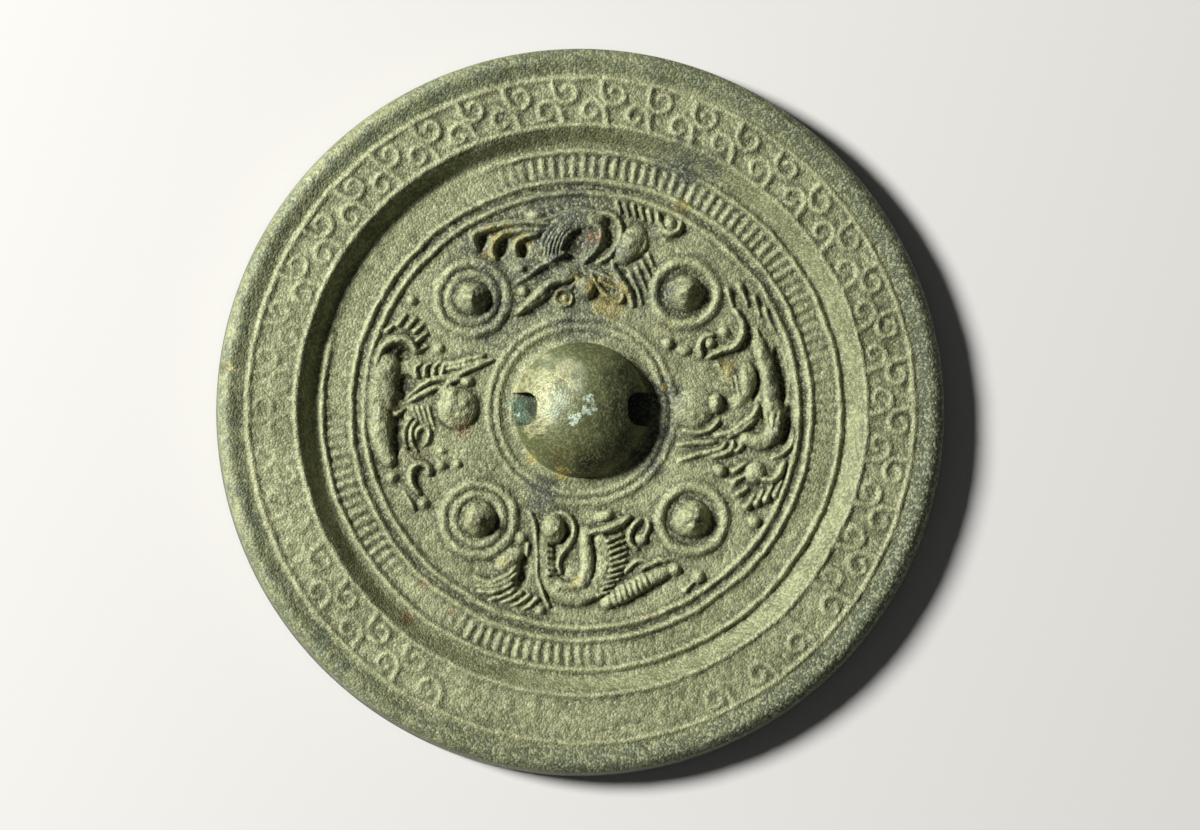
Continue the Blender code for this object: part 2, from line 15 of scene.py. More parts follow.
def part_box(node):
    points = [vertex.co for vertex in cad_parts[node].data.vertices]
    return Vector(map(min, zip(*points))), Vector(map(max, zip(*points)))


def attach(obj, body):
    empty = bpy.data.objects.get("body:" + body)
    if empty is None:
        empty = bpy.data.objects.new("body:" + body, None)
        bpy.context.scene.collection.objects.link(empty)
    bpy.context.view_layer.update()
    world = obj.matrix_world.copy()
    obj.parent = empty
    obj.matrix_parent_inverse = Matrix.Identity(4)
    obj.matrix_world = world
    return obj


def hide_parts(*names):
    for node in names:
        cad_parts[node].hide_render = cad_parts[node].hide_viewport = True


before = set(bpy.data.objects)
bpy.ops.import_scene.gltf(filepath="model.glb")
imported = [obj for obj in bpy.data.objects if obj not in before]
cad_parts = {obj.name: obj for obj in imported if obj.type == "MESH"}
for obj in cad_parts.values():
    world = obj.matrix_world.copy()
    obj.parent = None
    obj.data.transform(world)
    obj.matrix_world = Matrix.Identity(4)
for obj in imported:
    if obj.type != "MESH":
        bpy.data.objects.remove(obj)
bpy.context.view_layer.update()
mirror_low, mirror_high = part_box("bronze_mirror")

# The disc
MIRROR_RADIUS = (mirror_high.x - mirror_low.x) / 2
MIRROR_TOP = mirror_high.z
FACE_SAG = 0.0010
FLAT_SPOT_RADIUS = 0.0180
SIDE_HEIGHT = 0.0034
SIDE_TAPER = 0.0005
LIP_WIDTH = 0.0045
LIP_CREST_INSET = 0.0019
LIP_HEIGHT = 0.0009
RIM_THICKNESS = 0.0053
BEAD_WIDTH = 0.0011
BEAD_HEIGHT = 0.0004
SCROLL_BAND_WIDTH = 0.0060
WALL_WIDTH = 0.0021
WALL_FOOT_WIDTH = 0.0006
FIELD_THICKNESS = 0.0028
RIDGE_WIDTH = 0.0011
RIDGE_HEIGHT = 0.00068
COMB_BAND_WIDTH = 0.0033
GROOVE_WIDTH = 0.0008

# The knob
KNOB_RADIUS = 0.0102
KNOB_HEIGHT = 0.0072
KNOB_FULLNESS = 0.57
KNOB_FOOT_WIDTH = 0.0007
KNOB_FOOT_HEIGHT = 0.00045
NUB_RADIUS = 0.0030
NUB_HEIGHT = 0.0003
KNOB_RING_RADII = (0.0127, 0.0141)
KNOB_RING_WIDTH = 0.0013
KNOB_RING_HEIGHT = 0.00038
CORD_HOLE_WIDTH = 0.0046
CORD_HOLE_HEIGHT = 0.0046
CORD_HOLE_CORNER = 0.0017
CORD_HOLE_SILL = 0.0002
CORD_HOLE_FLARE = 1.12
CORD_HOLE_CORNER_STEPS = 6
CORD_HOLE_CUTS = 16
CORE_REACH = 2.4

# How the turned back rounds over: widths, and shares of the lip's height
WALL_EASE = 0.0003
WALL_BRINK = 0.0002
LIP_RISE_WIDTH = 0.0010
LIP_RISE_SHARE = 0.40
LIP_SHOULDER_INSET = 0.0006
LIP_SHOULDER_SHARE = 0.92
LIP_SLOPE_OUTSET = 0.0004
LIP_SLOPE_SHARE = 0.85
LIP_EDGE_INSET = 0.0002
LIP_EDGE_SHARE = 0.10

# Radii that follow, from the edge inwards
side_top = MIRROR_RADIUS - SIDE_TAPER
lip_crest = MIRROR_RADIUS - LIP_CREST_INSET
lip_foot = MIRROR_RADIUS - LIP_WIDTH
scroll_outer = lip_foot - BEAD_WIDTH
scroll_inner = scroll_outer - SCROLL_BAND_WIDTH
wall_top = scroll_inner - BEAD_WIDTH
wall_foot = wall_top - WALL_WIDTH
comb_outer = wall_foot - WALL_FOOT_WIDTH - RIDGE_WIDTH
comb_inner = comb_outer - COMB_BAND_WIDTH
groove_outer = comb_inner - RIDGE_WIDTH
groove_inner = groove_outer - GROOVE_WIDTH
field_radius = groove_inner - RIDGE_WIDTH

# Comb teeth, and how strongly teeth and ridge show at each angle
COMB_COUNT = 150
COMB_START = 0.7
TOOTH_WIDTH = 0.00105
TOOTH_HEIGHT = 0.0004
TOOTH_END = 0.0003
TOOTH_ROUNDNESS = 0.75
COMB_WEAR = ((0, 0.4), (28, 0.5), (38, 0.9), (60, 1.0), (100, 0.95), (110, 0.25), (120, 0.0), (155, 0.0),
             (170, 0.15), (182, 0.4), (192, 0.7), (216, 0.75), (223, 0.2), (238, 0.25), (243, 0.85),
             (268, 0.85), (278, 0.2), (300, 0.05), (330, 0.1), (345, 0.35), (360, 0.4))
RIDGE_WEAR = ((0, 1.0), (104, 1.0), (114, 0.1), (162, 0.1), (170, 1.0), (360, 1.0))

# Cloud scrolls: angle in degrees, and strength at each angle; their own shape in scroll sizes
SCROLL_COUNT = 41
SCROLL_DRIFT = 2.5
SCROLL_SIZE = 0.00188
SCROLL_LINE_WIDTH = 0.00118
SCROLL_LINE_HEIGHT = 0.00047
SCROLL_STEPS = 14
SCROLL_STEM_PLACE = 1.2
SCROLL_START = -10
SCROLL_SWEEP = -330
SCROLL_REACH = 1.08
SCROLL_WIND_IN = 0.72
SCROLL_THINNING = 0.3
OUTER_WEAR = ((0, 0.9), (60, 1.0), (150, 0.9), (163, 0.5), (205, 0.4), (218, 0.75), (240, 0.8), (250, 0.25),
              (284, 0.2), (293, 0.7), (310, 0.85), (360, 0.9))
INNER_WEAR = ((0, 0.85), (60, 1.0), (150, 0.9), (168, 0.4), (200, 0.35), (215, 0.75), (232, 0.8), (246, 0.2),
              (314, 0.1), (324, 0.7), (336, 0.85), (360, 0.85))
OUTER_SCROLLS = (6.5, scroll_outer - SCROLL_BAND_WIDTH / 4, 1, OUTER_WEAR)
INNER_SCROLLS = (2.0, scroll_inner + SCROLL_BAND_WIDTH / 4, -1, INNER_WEAR)

# Nipples: place in drawing units, ring radii in metres
NIPPLE_RADIUS = 0.0029
NIPPLE_HEIGHT = 0.0035
NIPPLE_SPREAD = 1.04
NIPPLE_BLUNTNESS = 0.01
NIPPLE_SWELL = 0.3
NIPPLE_RING_WIDTH = 0.0018
NIPPLES = ((15.8, 17.8, (0.0048,)), (-16.6, 17.0, (0.0036, 0.0053)),
           (-15.6, -16.6, (0.0037, 0.0053)), (16.8, -16.6, (0.0049,)))

# Drawn relief, in drawing units and shares
DRAWN_FIELD_RADIUS = 32.5
LINE_WIDTH_SCALE = 1.15
LINE_HEIGHT_SHARE = 1.0
PATH_STEPS = 6
TAPERED_END = 0.5
LIMB_SWELL = 0.3
HAIR_THINNING = 0.55
HOOK_STEP = 40
THIN_SHARE = 0.35
ROUND = 0.9
FULL = 0.5
MOUND_FULLNESS = 0.65
HOLLOW_DEPTH = 0.8
HOLLOW_STEEPNESS = 2
CUT_DEPTH = 0.6
unit = field_radius / DRAWN_FIELD_RADIUS

# Worn relief: how far lines stray and fray, how its height varies (share, size, seed), how soft it is
HAND_DRIFT = 0.00018
HAND_DRIFT_SIZE = 0.0045
FRAYED = 0.00009
FRAYED_SIZE = 0.0011
UNEVEN_WEAR = ((0.2, 0.0022, 13), (0.25, 0.0008, 17))
CASTING_SOFTNESS = 0.00008
SKIRT_SOFTNESS = 0.00036
SKIRT_SHARE = 0.22

# Corroded surface; a chip is x, y, reach and depth
SWELL_HEIGHT = 0.00008
SWELL_SIZE = 0.0060
LUMP_HEIGHT = 0.00009
LUMP_SIZE = 0.0014
PIT_DEPTH = 0.0001
PIT_SIZE = 0.0010
PIT_START = 0.40
PIT_RANGE = 0.3
CHIPS = ((-0.0536, 0.0061, 0.0011, 0.0003), (0.0065, -0.0190, 0.0007, 0.0003))

# Height map and mesh
MAP_PITCH = 0.0001
MAP_MARGIN = 6
TURN_STEPS = 1260
ROW_SCALE = 1.0
MOST_TRIANGLES = 182000
MERGE_DISTANCE = 0.000003

# Rows of points: out to which radius on the back and how far apart, then how many on side and face
BACK_ROWS = ((KNOB_RADIUS * 0.9, 0.00028), (KNOB_RADIUS * 1.02, 0.00010), (field_radius, 0.00016),
             (wall_top, 0.00020), (scroll_outer, 0.00017), (side_top - 0.00005, 0.00020))
SIDE_ROWS = 12
FACE_ROWS = 40

# Where the relief is pressed in, and how the corrosion grows fainter on the knob
BACK_LEVEL = 0.9
CALM_KNOB = 0.3
CALM_START = 0.9
CALM_FADE = 0.0015

# The height map's points
map_half = int(MIRROR_RADIUS / MAP_PITCH) + MAP_MARGIN
map_end = 2 * map_half - 0.001
map_axis = np.arange(-map_half, map_half + 1) * MAP_PITCH
map_x, map_y = np.meshgrid(map_axis, map_axis)
map_radius = np.hypot(map_x, map_y)
map_angle = np.degrees(np.arctan2(map_y, map_x)) % 360

# Where the material changes: depths and fades in metres
CREVICE_REACH = 0.0006
CREVICE_DEPTH = 0.00022
SUNK_DEPTH = 0.0005
SUNK_SHARE = 0.9
SKIN_LEVEL = 0.6
KNOB_FADE = 0.0003
LIP_FADE = 0.0006
HOLE_FADE = 0.0004
HOLE_START = 0.3
# The key light's direction round the mirror, in degrees; the lip gets painted shade on the side away from it
LIT_ANGLE = 165

# Patches of patina, and of painted shade, shadow and sheen: x, y and reach in drawing units, with ragged
# edges; crumbled ones have sharper edges
PATCH_SPREAD = 1.15
RAGGED_SHARE = 0.55
RAGGED_SIZE = 0.0016
BROAD_SHARE = 0.2
BROAD_SIZE = 0.0080
SHARP_FADE = 0.5
SOFT_FADE = 1.2
PATCHES = {
    # Blue-grey bloom; the spots right of the knob, at x 10 to 12.4, are painted shadow where the knob's
    # shadow falls
    "bloom_and_shadow": ((-3.0, 24.0, 15.0), (-13.0, 23.0, 9.0), (4.0, 19.0, 8.0), (-13.0, 15.0, 6.0), (0.0, 12.5, 7.0),
              (12.4, 2.0, 4.4), (12.0, -4.0, 4.0), (10.0, -8.6, 3.2), (16.0, 36.0, 6.0), (-3.4, 0.6, 3.4),
              (-6.0, -13.0, 4.0), (12.6, 18.0, 3.2)),
    "ochre": ((2.6, 18.6, 3.0), (5.0, 16.4, 3.6), (4.6, 18.0, 3.2), (3.2, 16.0, 2.6), (-12.4, 26.0, 3.2),
              (-9.0, 25.4, 2.6), (-14.0, 23.6, 2.0), (-3.0, 16.8, 1.6), (-1.0, 20.4, 1.6), (13.2, 12.6, 1.0),
              (22.0, 7.0, 2.0), (-12.0, -23.0, 1.2), (-1.0, -26.0, 1.2), (-53.0, 6.1, 1.2), (12.6, 6.0, 0.9),
              (12.7, 3.5, 0.8), (15.0, 31.0, 2.2), (-7.4, -7.6, 1.4), (-3.0, -9.4, 1.8)),
    "cuprite": ((2.0, 26.3, 1.5), (-28.6, 0.8, 1.0), (-26.5, -31.6, 1.6), (-24.0, -26.4, 1.4),
                (-20.0, -30.5, 1.3), (10.4, -31.4, 1.0), (-18.0, -3.0, 1.6), (21.0, -2.6, 1.2)),
    "tan": ((-5.8, 4.6, 4.0), (-3.0, 5.4, 3.0), (-7.0, 1.6, 3.2), (-6.8, -2.4, 2.6), (-8.4, 3.0, 2.4)),
    "teal": ((-9.4, 0.9, 1.5), (-9.2, -0.8, 1.3), (-10.6, 1.4, 0.8)),
    # Painted sheen: a pale arc on the knob's upper left, on its side toward the key light
    "pale": ((-5.4, 6.2, 2.6), (-3.0, 6.8, 2.4), (-1.0, 5.8, 2.0), (-1.4, 3.6, 1.8), (-3.4, 1.4, 2.0),
             (-4.8, -0.8, 2.0)),
    # Painted shade, with some dark patina: the knob's right side, the right sides of the nipples, and hollows
    # in the shadow of the beasts' limbs
    "shade_and_dark_patina": ((8.0, 0.0, 5.8), (6.0, -5.4, 5.0), (6.6, 5.4, 4.0), (1.0, -8.0, 3.0), (-27.4, 3.4, 3.0),
             (-27.0, 1.4, 2.4), (-28.0, -2.6, 2.0), (-27.6, -5.4, 2.2), (29.4, 8.0, 2.0), (29.8, 5.6, 2.6),
             (30.2, 3.0, 2.6), (30.8, -2.4, 2.4), (29.8, -4.8, 2.0), (-1.8, 24.6, 2.6), (-0.8, 27.0, 1.8),
             (17.6, 17.8, 2.2), (-14.6, 17.4, 2.2), (-14.8, -16.8, 2.0), (17.6, -16.8, 2.0),
             (9.8, -20.6, 1.2), (9.6, -24.4, 1.2)),
    "brown": ((0.6, -7.4, 3.6), (-3.6, -7.0, 2.2), (4.6, -6.4, 2.2), (-28.0, -0.8, 2.2), (-25.0, -6.0, 3.0),
              (-27.0, 5.0, 2.4), (-15.4, -18.0, 2.2), (30.6, -1.0, 2.0), (6.0, -20.4, 2.0)),
    "mint": ((1.4, -0.5, 1.2), (0.4, -0.2, 1.0), (0.8, 1.0, 0.9), (-1.2, -1.8, 1.1), (-0.4, -1.2, 0.8),
             (1.2, 1.9, 0.6), (-9.8, -0.8, 0.6))}
CRUMBLED = ("ochre", "cuprite", "tan", "mint")

# The skin's pattern: sizes and depths, then from where to where in a pattern each mark sets in
CLOUD_SIZE = 0.0100
BLOTCH_SIZE = 0.0022
SPECK_SIZE = 0.0005
SAND_GRAIN = 0.00034
SAND_DEPTH = SAND_GRAIN * 0.3
BLOTCH_DEPTH = BLOTCH_SIZE / 10
PALE_GRAIN = (0.55, 0.75)
DARK_GRAIN = (0.45, 0.25)
DARK_BLOTCH = (0.52, 0.66)
DARK_BLOTCH_COVER = 0.7
LIP_MOTTLE = (0.44, 0.58)
CRUMBS = (1.36, 1.58)
KNOB_SAND = 0.55
KNOB_ROUGHNESS = 0.5
BACK_ROUGHNESS = 0.62


# Fields; noise scrambles each cell's place by whole numbers, and finer octaves count for less
SCRAMBLE_U = 374761393
SCRAMBLE_V = 668265263
SCRAMBLE_SEED = 974634777
SCRAMBLE_AGAIN = 1274126177
FINER_SHARE = 0.6


def noise(u, v, size, seed, octaves=2):
    """Smooth noise from -1 to 1 with blobs of about a size, the same at each run."""
    total = np.zeros(np.shape(u))
    for octave in range(octaves):
        scale = size / 2 ** octave
        cell_u, cell_v = np.floor(u / scale), np.floor(v / scale)
        part_u, part_v = u / scale - cell_u, v / scale - cell_v
        part_u = part_u * part_u * (3 - 2 * part_u)
        part_v = part_v * part_v * (3 - 2 * part_v)
        corners = []
        for step_u, step_v in ((0, 0), (1, 0), (0, 1), (1, 1)):
            value = (cell_u + step_u).astype(np.int64) * SCRAMBLE_U
            value = value + (cell_v + step_v).astype(np.int64) * SCRAMBLE_V + (seed + octave) * SCRAMBLE_SEED
            value = ((value ^ (value >> 13)) * SCRAMBLE_AGAIN) & 0xFFFFFFFF
            corners.append((value ^ (value >> 16)) / 0x7FFFFFFF - 1.0)
        low = corners[0] * (1 - part_u) + corners[1] * part_u
        high = corners[2] * (1 - part_u) + corners[3] * part_u
        total += (low * (1 - part_v) + high * part_v) * FINER_SHARE ** octave
    return total / sum(FINER_SHARE ** octave for octave in range(octaves))


def blurred(field, radius):
    """A height map softened with a Gaussian of a radius in metres."""
    across = np.fft.rfftfreq(field.shape[1], MAP_PITCH)
    along = np.fft.fftfreq(field.shape[0], MAP_PITCH)
    falloff = np.exp(-2 * (pi * radius) ** 2 * (across[None, :] ** 2 + along[:, None] ** 2))
    return np.fft.irfft2(np.fft.rfft2(field) * falloff, field.shape)


def by_angle(stops, angle):
    """A value that changes round the mirror, from (angle, value) stops."""
    return np.interp(angle, [stop[0] for stop in stops], [stop[1] for stop in stops])


def sampled(field, x, y):
    """A height map read between its points."""
    column = np.clip(x / MAP_PITCH + map_half, 0, map_end)
    row = np.clip(y / MAP_PITCH + map_half, 0, map_end)
    c, r = column.astype(int), row.astype(int)
    part_c, part_r = column - c, row - r
    low = field[r, c] * (1 - part_c) + field[r, c + 1] * part_c
    high = field[r + 1, c] * (1 - part_c) + field[r + 1, c + 1] * part_c
    return low * (1 - part_r) + high * part_r


def eased(value):
    """A value clipped to 0 and 1, with soft ends."""
    value = np.clip(value, 0, 1)
    return value * value * (3 - 2 * value)


# Drawing language of the figures: a line is a path, its half widths, its height and how round it is

def smooth_path(points):
    """Points along a smooth curve through a few drawn points."""
    ends = [points[0]] + list(points) + [points[-1]]
    path = []
    for p0, p1, p2, p3 in zip(ends, ends[1:], ends[2:], ends[3:]):
        for step in range(PATH_STEPS):
            t = step / PATH_STEPS
            path.append(tuple(
                0.5 * (2 * b + (c - a) * t + (2 * a - 5 * b + 4 * c - d) * t * t
                       + (3 * b - a - 3 * c + d) * t ** 3)
                for a, b, c, d in zip(p0, p1, p2, p3)))
    return path + [points[-1]]


def ridge(width, *points, height=None):
    """A raised line of a width through a few points, thinner at both ends."""
    path = smooth_path(points)
    last = len(path) - 1
    halves = [LINE_WIDTH_SCALE * width / 2 * (TAPERED_END + (1 - TAPERED_END) * sin(pi * i / last) ** 0.5)
              for i in range(last + 1)]
    return [(path, halves, height or LINE_HEIGHT_SHARE * width, ROUND)]


def limb(width, height, *points):
    """A broad raised limb with a full, flat back."""
    path = smooth_path(points)
    last = len(path) - 1
    halves = [width / 2 * (1 - LIMB_SWELL + LIMB_SWELL * sin(pi * i / last)) for i in range(last + 1)]
    return [(path, halves, height, FULL)]


def hair(width, *points, height=None):
    """A raised stroke, thick at its root and thin at its tip; a negative height cuts it in."""
    path = smooth_path(points)
    last = len(path) - 1
    halves = [LINE_WIDTH_SCALE * width / 2 * (1 - HAIR_THINNING * i / last) for i in range(last + 1)]
    return [(path, halves, height or LINE_HEIGHT_SHARE * width, ROUND)]


def fan(count, width, first, last, bow=(0.0, 0.0), height=None):
    """Like strokes spread evenly between a first and a last one, bowed in between."""
    marks = []
    for i in range(count):
        t = i / (count - 1)
        arch = sin(pi * t)
        points = [tuple(a + (b - a) * t + push * arch for a, b, push in zip(p, q, bow))
                  for p, q in zip(first, last)]
        marks += hair(width, *points, height=height)
    return marks


def hook(width, x, y, radius, start, sweep, shrink=0.5):
    """A curl: an arc about (x, y) that winds in as it turns."""
    points = []
    parts = max(ceil(abs(sweep) / HOOK_STEP), 2)
    for i in range(parts + 1):
        turn = radians(start + sweep * i / parts)
        reach = radius * (1 - shrink * i / parts)
        points.append((x + reach * cos(turn), y + reach * sin(turn)))
    return ridge(width, *points)


def dots(*places):
    """Small round bosses: (x, y, radius) each."""
    return [(x, y, radius, radius, 0, radius) for x, y, radius in places]


def hollows(*places):
    """Sunk places: (x, y, half length, half width, turn) each."""
    return [(x, y, length, width, turn, -HOLLOW_DEPTH) for x, y, length, width, turn in places]


# The four beasts: mounds (x, y, half length, half width, turn, height), then lines over them

def top_beast():
    """A winged beast, its tail plumes to the left and its back arched over a hollow."""
    mounds = hollows((-1.2, 25.2, 1.9, 3.2, -12), (4.2, 27.0, 1.1, 2.5, 0), (-12.0, 24.7, 0.9, 1.7, -20),
                     (-15.1, 25.6, 0.6, 1.3, -10), (-8.8, 24.3, 0.8, 1.2, 0))
    mounds += [(-2.4, 20.6, 2.2, 1.3, 10, 0.9), (0.8, 18.6, 1.7, 1.8, 0, 1.6), (7.5, 25.3, 3.5, 2.0, 58, 1.5),
               (-7.2, 29.7, 1.7, 0.8, 12, 0.6), (-5.0, 30.3, 0.6, 0.6, 0, 0.5),
               (-3.7, 30.5, 0.7, 0.5, 10, 0.5)]
    mounds += dots((13.5, 28.4, 1.0), (-8.8, 18.1, 0.9), (-9.1, 21.6, 0.7), (-2.4, 17.0, 0.55))
    lines = limb(3.8, 0.8, (-4.8, 23.0), (-4.6, 25.0), (-3.8, 26.9), (-2.1, 28.6), (0.2, 29.4), (2.0, 29.2))
    lines += ridge(1.3, (-5.0, 28.2), (-8.0, 28.7), (-11.5, 28.3), (-14.5, 27.6), (-16.4, 26.6),
                   (-16.6, 25.3), (-15.9, 24.2))
    lines += ridge(1.2, (-5.6, 27.4), (-8.5, 27.6), (-11.0, 27.2), (-12.8, 26.2), (-13.6, 25.0),
                   (-13.6, 23.8), (-13.1, 22.9))
    lines += ridge(1.1, (-6.4, 26.9), (-8.4, 26.5), (-9.8, 25.6), (-10.2, 24.6), (-9.7, 23.6))
    lines += ridge(0.8, (-9.0, 28.9), (-5.8, 28.9), (-3.6, 29.6), (-2.4, 30.3))
    lines += ridge(1.0, (1.2, 28.9), (2.6, 27.9), (2.9, 26.2), (2.2, 24.5), (1.1, 23.3), (0.3, 22.4))
    lines += hair(0.6, (0.1, 23.2), (0.9, 24.3))
    lines += ridge(1.0, (-2.6, 29.9), (0.0, 30.3), (2.6, 30.1), (4.8, 29.6), (5.8, 28.2), (5.9, 26.6),
                   (5.2, 24.9), (4.0, 23.5), (2.6, 22.6))
    lines += ridge(1.0, (-2.6, 24.0), (-4.2, 23.1), (-6.2, 21.9), (-8.0, 20.5), (-9.8, 19.3))
    lines += ridge(1.6, (-1.6, 19.9), (-3.8, 19.7), (-5.6, 18.6), (-7.4, 16.8), (-9.9, 14.6))
    lines += ridge(0.9, (-4.2, 18.4), (-5.8, 17.2), (-7.6, 15.8), (-9.2, 14.7))
    lines += hook(0.7, -2.6, 17.1, 1.3, 20, 345, 0.0)
    lines += ridge(0.8, (-0.2, 20.2), (-1.0, 19.2), (-1.5, 18.6))
    lines += ridge(0.9, (1.4, 21.3), (3.2, 20.6), (5.0, 19.9), (6.0, 18.6), (6.3, 17.2), (5.7, 16.3))
    lines += ridge(0.9, (1.5, 20.7), (2.5, 19.0), (3.7, 17.6), (5.6, 16.3))
    lines += hair(0.7, (2.8, 19.8), (5.0, 18.6))
    lines += ridge(1.2, (4.6, 21.6), (6.0, 20.0), (7.0, 18.2), (7.8, 15.9))
    lines += fan(4, 0.8, ((7.4, 20.6), (8.3, 18.4), (9.2, 16.2)), ((10.1, 23.6), (10.7, 22.3), (11.3, 21.4)))
    lines += ridge(1.0, (4.6, 22.6), (6.0, 22.9), (7.8, 23.4), (9.2, 24.4), (9.8, 25.6), (9.6, 26.8),
                   (8.8, 27.9), height=0.7)
    lines += ridge(0.9, (4.7, 23.0), (4.9, 21.9), (5.8, 20.9))
    lines += fan(5, 0.95, ((5.4, 31.6), (5.9, 30.0)), ((10.2, 30.2), (10.7, 28.7)))
    lines += ridge(1.1, (11.5, 30.0), (11.9, 28.6), (12.7, 27.4), (13.9, 27.0), (14.9, 27.6), (15.1, 28.6))
    lines += hair(0.8, (11.8, 27.2), (13.0, 25.8))
    lines += fan(5, 0.4, ((-6.0, 23.6), (-5.5, 25.6), (-4.3, 27.5), (-2.4, 29.2)),
                 ((-3.6, 23.8), (-3.3, 25.4), (-2.4, 27.0), (-0.8, 28.4)), height=-CUT_DEPTH)
    return mounds, lines


def left_beast():
    """A crouching beast whose back follows the border, its round head towards the knob."""
    mounds = hollows((-26.6, 3.4, 1.9, 2.1, 0), (-27.9, -3.4, 1.0, 4.6, -6), (-27.0, 8.4, 1.3, 1.2, 0))
    mounds += [(-29.9, 5.9, 2.2, 3.0, -20, 1.3), (-29.6, 3.0, 1.9, 3.4, 0, 1.25),
               (-18.8, 0.3, 3.2, 3.2, 0, 1.6), (-19.8, 2.0, 1.8, 2.0, 30, 1.6),
               (-17.3, 4.4, 1.1, 0.9, 0, 1.1)]
    mounds += dots((-25.8, 16.7, 0.8), (-21.5, 9.4, 0.8), (-28.7, -10.2, 1.0), (-23.9, -14.2, 0.9),
                   (-21.3, -8.5, 0.8), (-18.8, -8.1, 0.7), (-21.2, -6.2, 0.6))
    lines = limb(3.4, 1.25, (-30.6, 6.5), (-30.9, 3.5), (-30.9, 0.5), (-30.7, -2.5), (-30.3, -5.0),
                 (-29.2, -7.6))
    lines += ridge(1.5, (-31.2, 6.6), (-30.5, 8.8), (-29.2, 10.3), (-27.4, 10.8), (-25.9, 10.2), (-25.2, 8.8))
    lines += fan(5, 0.95, ((-27.9, 13.0), (-26.8, 14.5)), ((-24.8, 9.0), (-23.3, 9.8)), bow=(1.0, 0.9))
    lines += hair(0.9, (-29.6, 12.0), (-28.6, 13.0))
    lines += fan(4, 0.9, ((-25.2, 5.0), (-25.3, 6.3), (-24.4, 7.0)),
                 ((-21.2, 5.6), (-20.8, 6.8), (-19.6, 7.4)))
    lines += ridge(0.9, (-20.8, 6.8), (-18.5, 7.2), (-16.5, 7.8), (-14.8, 8.4))
    lines += ridge(1.0, (-26.4, 1.8), (-25.0, 3.1), (-23.2, 4.2), (-21.0, 4.8), (-19.0, 5.3), (-17.0, 6.2),
                   (-13.6, 7.7))
    lines += ridge(0.9, (-20.5, 6.1), (-18.4, 6.6), (-16.6, 6.9), (-14.6, 7.6))
    lines += ridge(0.9, (-26.2, 1.2), (-24.6, 2.1), (-22.8, 3.1), (-21.4, 3.5))
    lines += ridge(1.1, (-21.5, 2.5), (-20.0, 4.2), (-18.3, 5.0))
    lines += ridge(0.8, (-25.7, -1.2), (-26.7, -2.6), (-26.9, -4.4), (-26.4, -6.0))
    lines += ridge(0.9, (-25.0, -1.8), (-25.8, -3.2), (-25.6, -5.2), (-24.9, -6.3))
    lines += ridge(0.8, (-24.9, -4.4), (-24.9, -3.2), (-24.0, -2.6), (-23.2, -3.2), (-23.3, -4.6),
                   (-24.0, -5.4))
    lines += fan(4, 0.65, ((-25.6, 0.4), (-25.0, -1.4)), ((-23.2, 0.4), (-22.3, -3.0)))
    lines += hair(0.8, (-28.0, -0.7), (-26.8, 0.2))
    lines += ridge(1.2, (-24.6, -12.8), (-25.7, -11.6), (-26.0, -10.2), (-25.6, -8.9), (-24.4, -8.3),
                   (-23.2, -8.7), (-23.2, -9.9))
    lines += ridge(0.9, (-26.9, -12.6), (-26.0, -14.2), (-25.4, -15.4))
    return mounds, lines


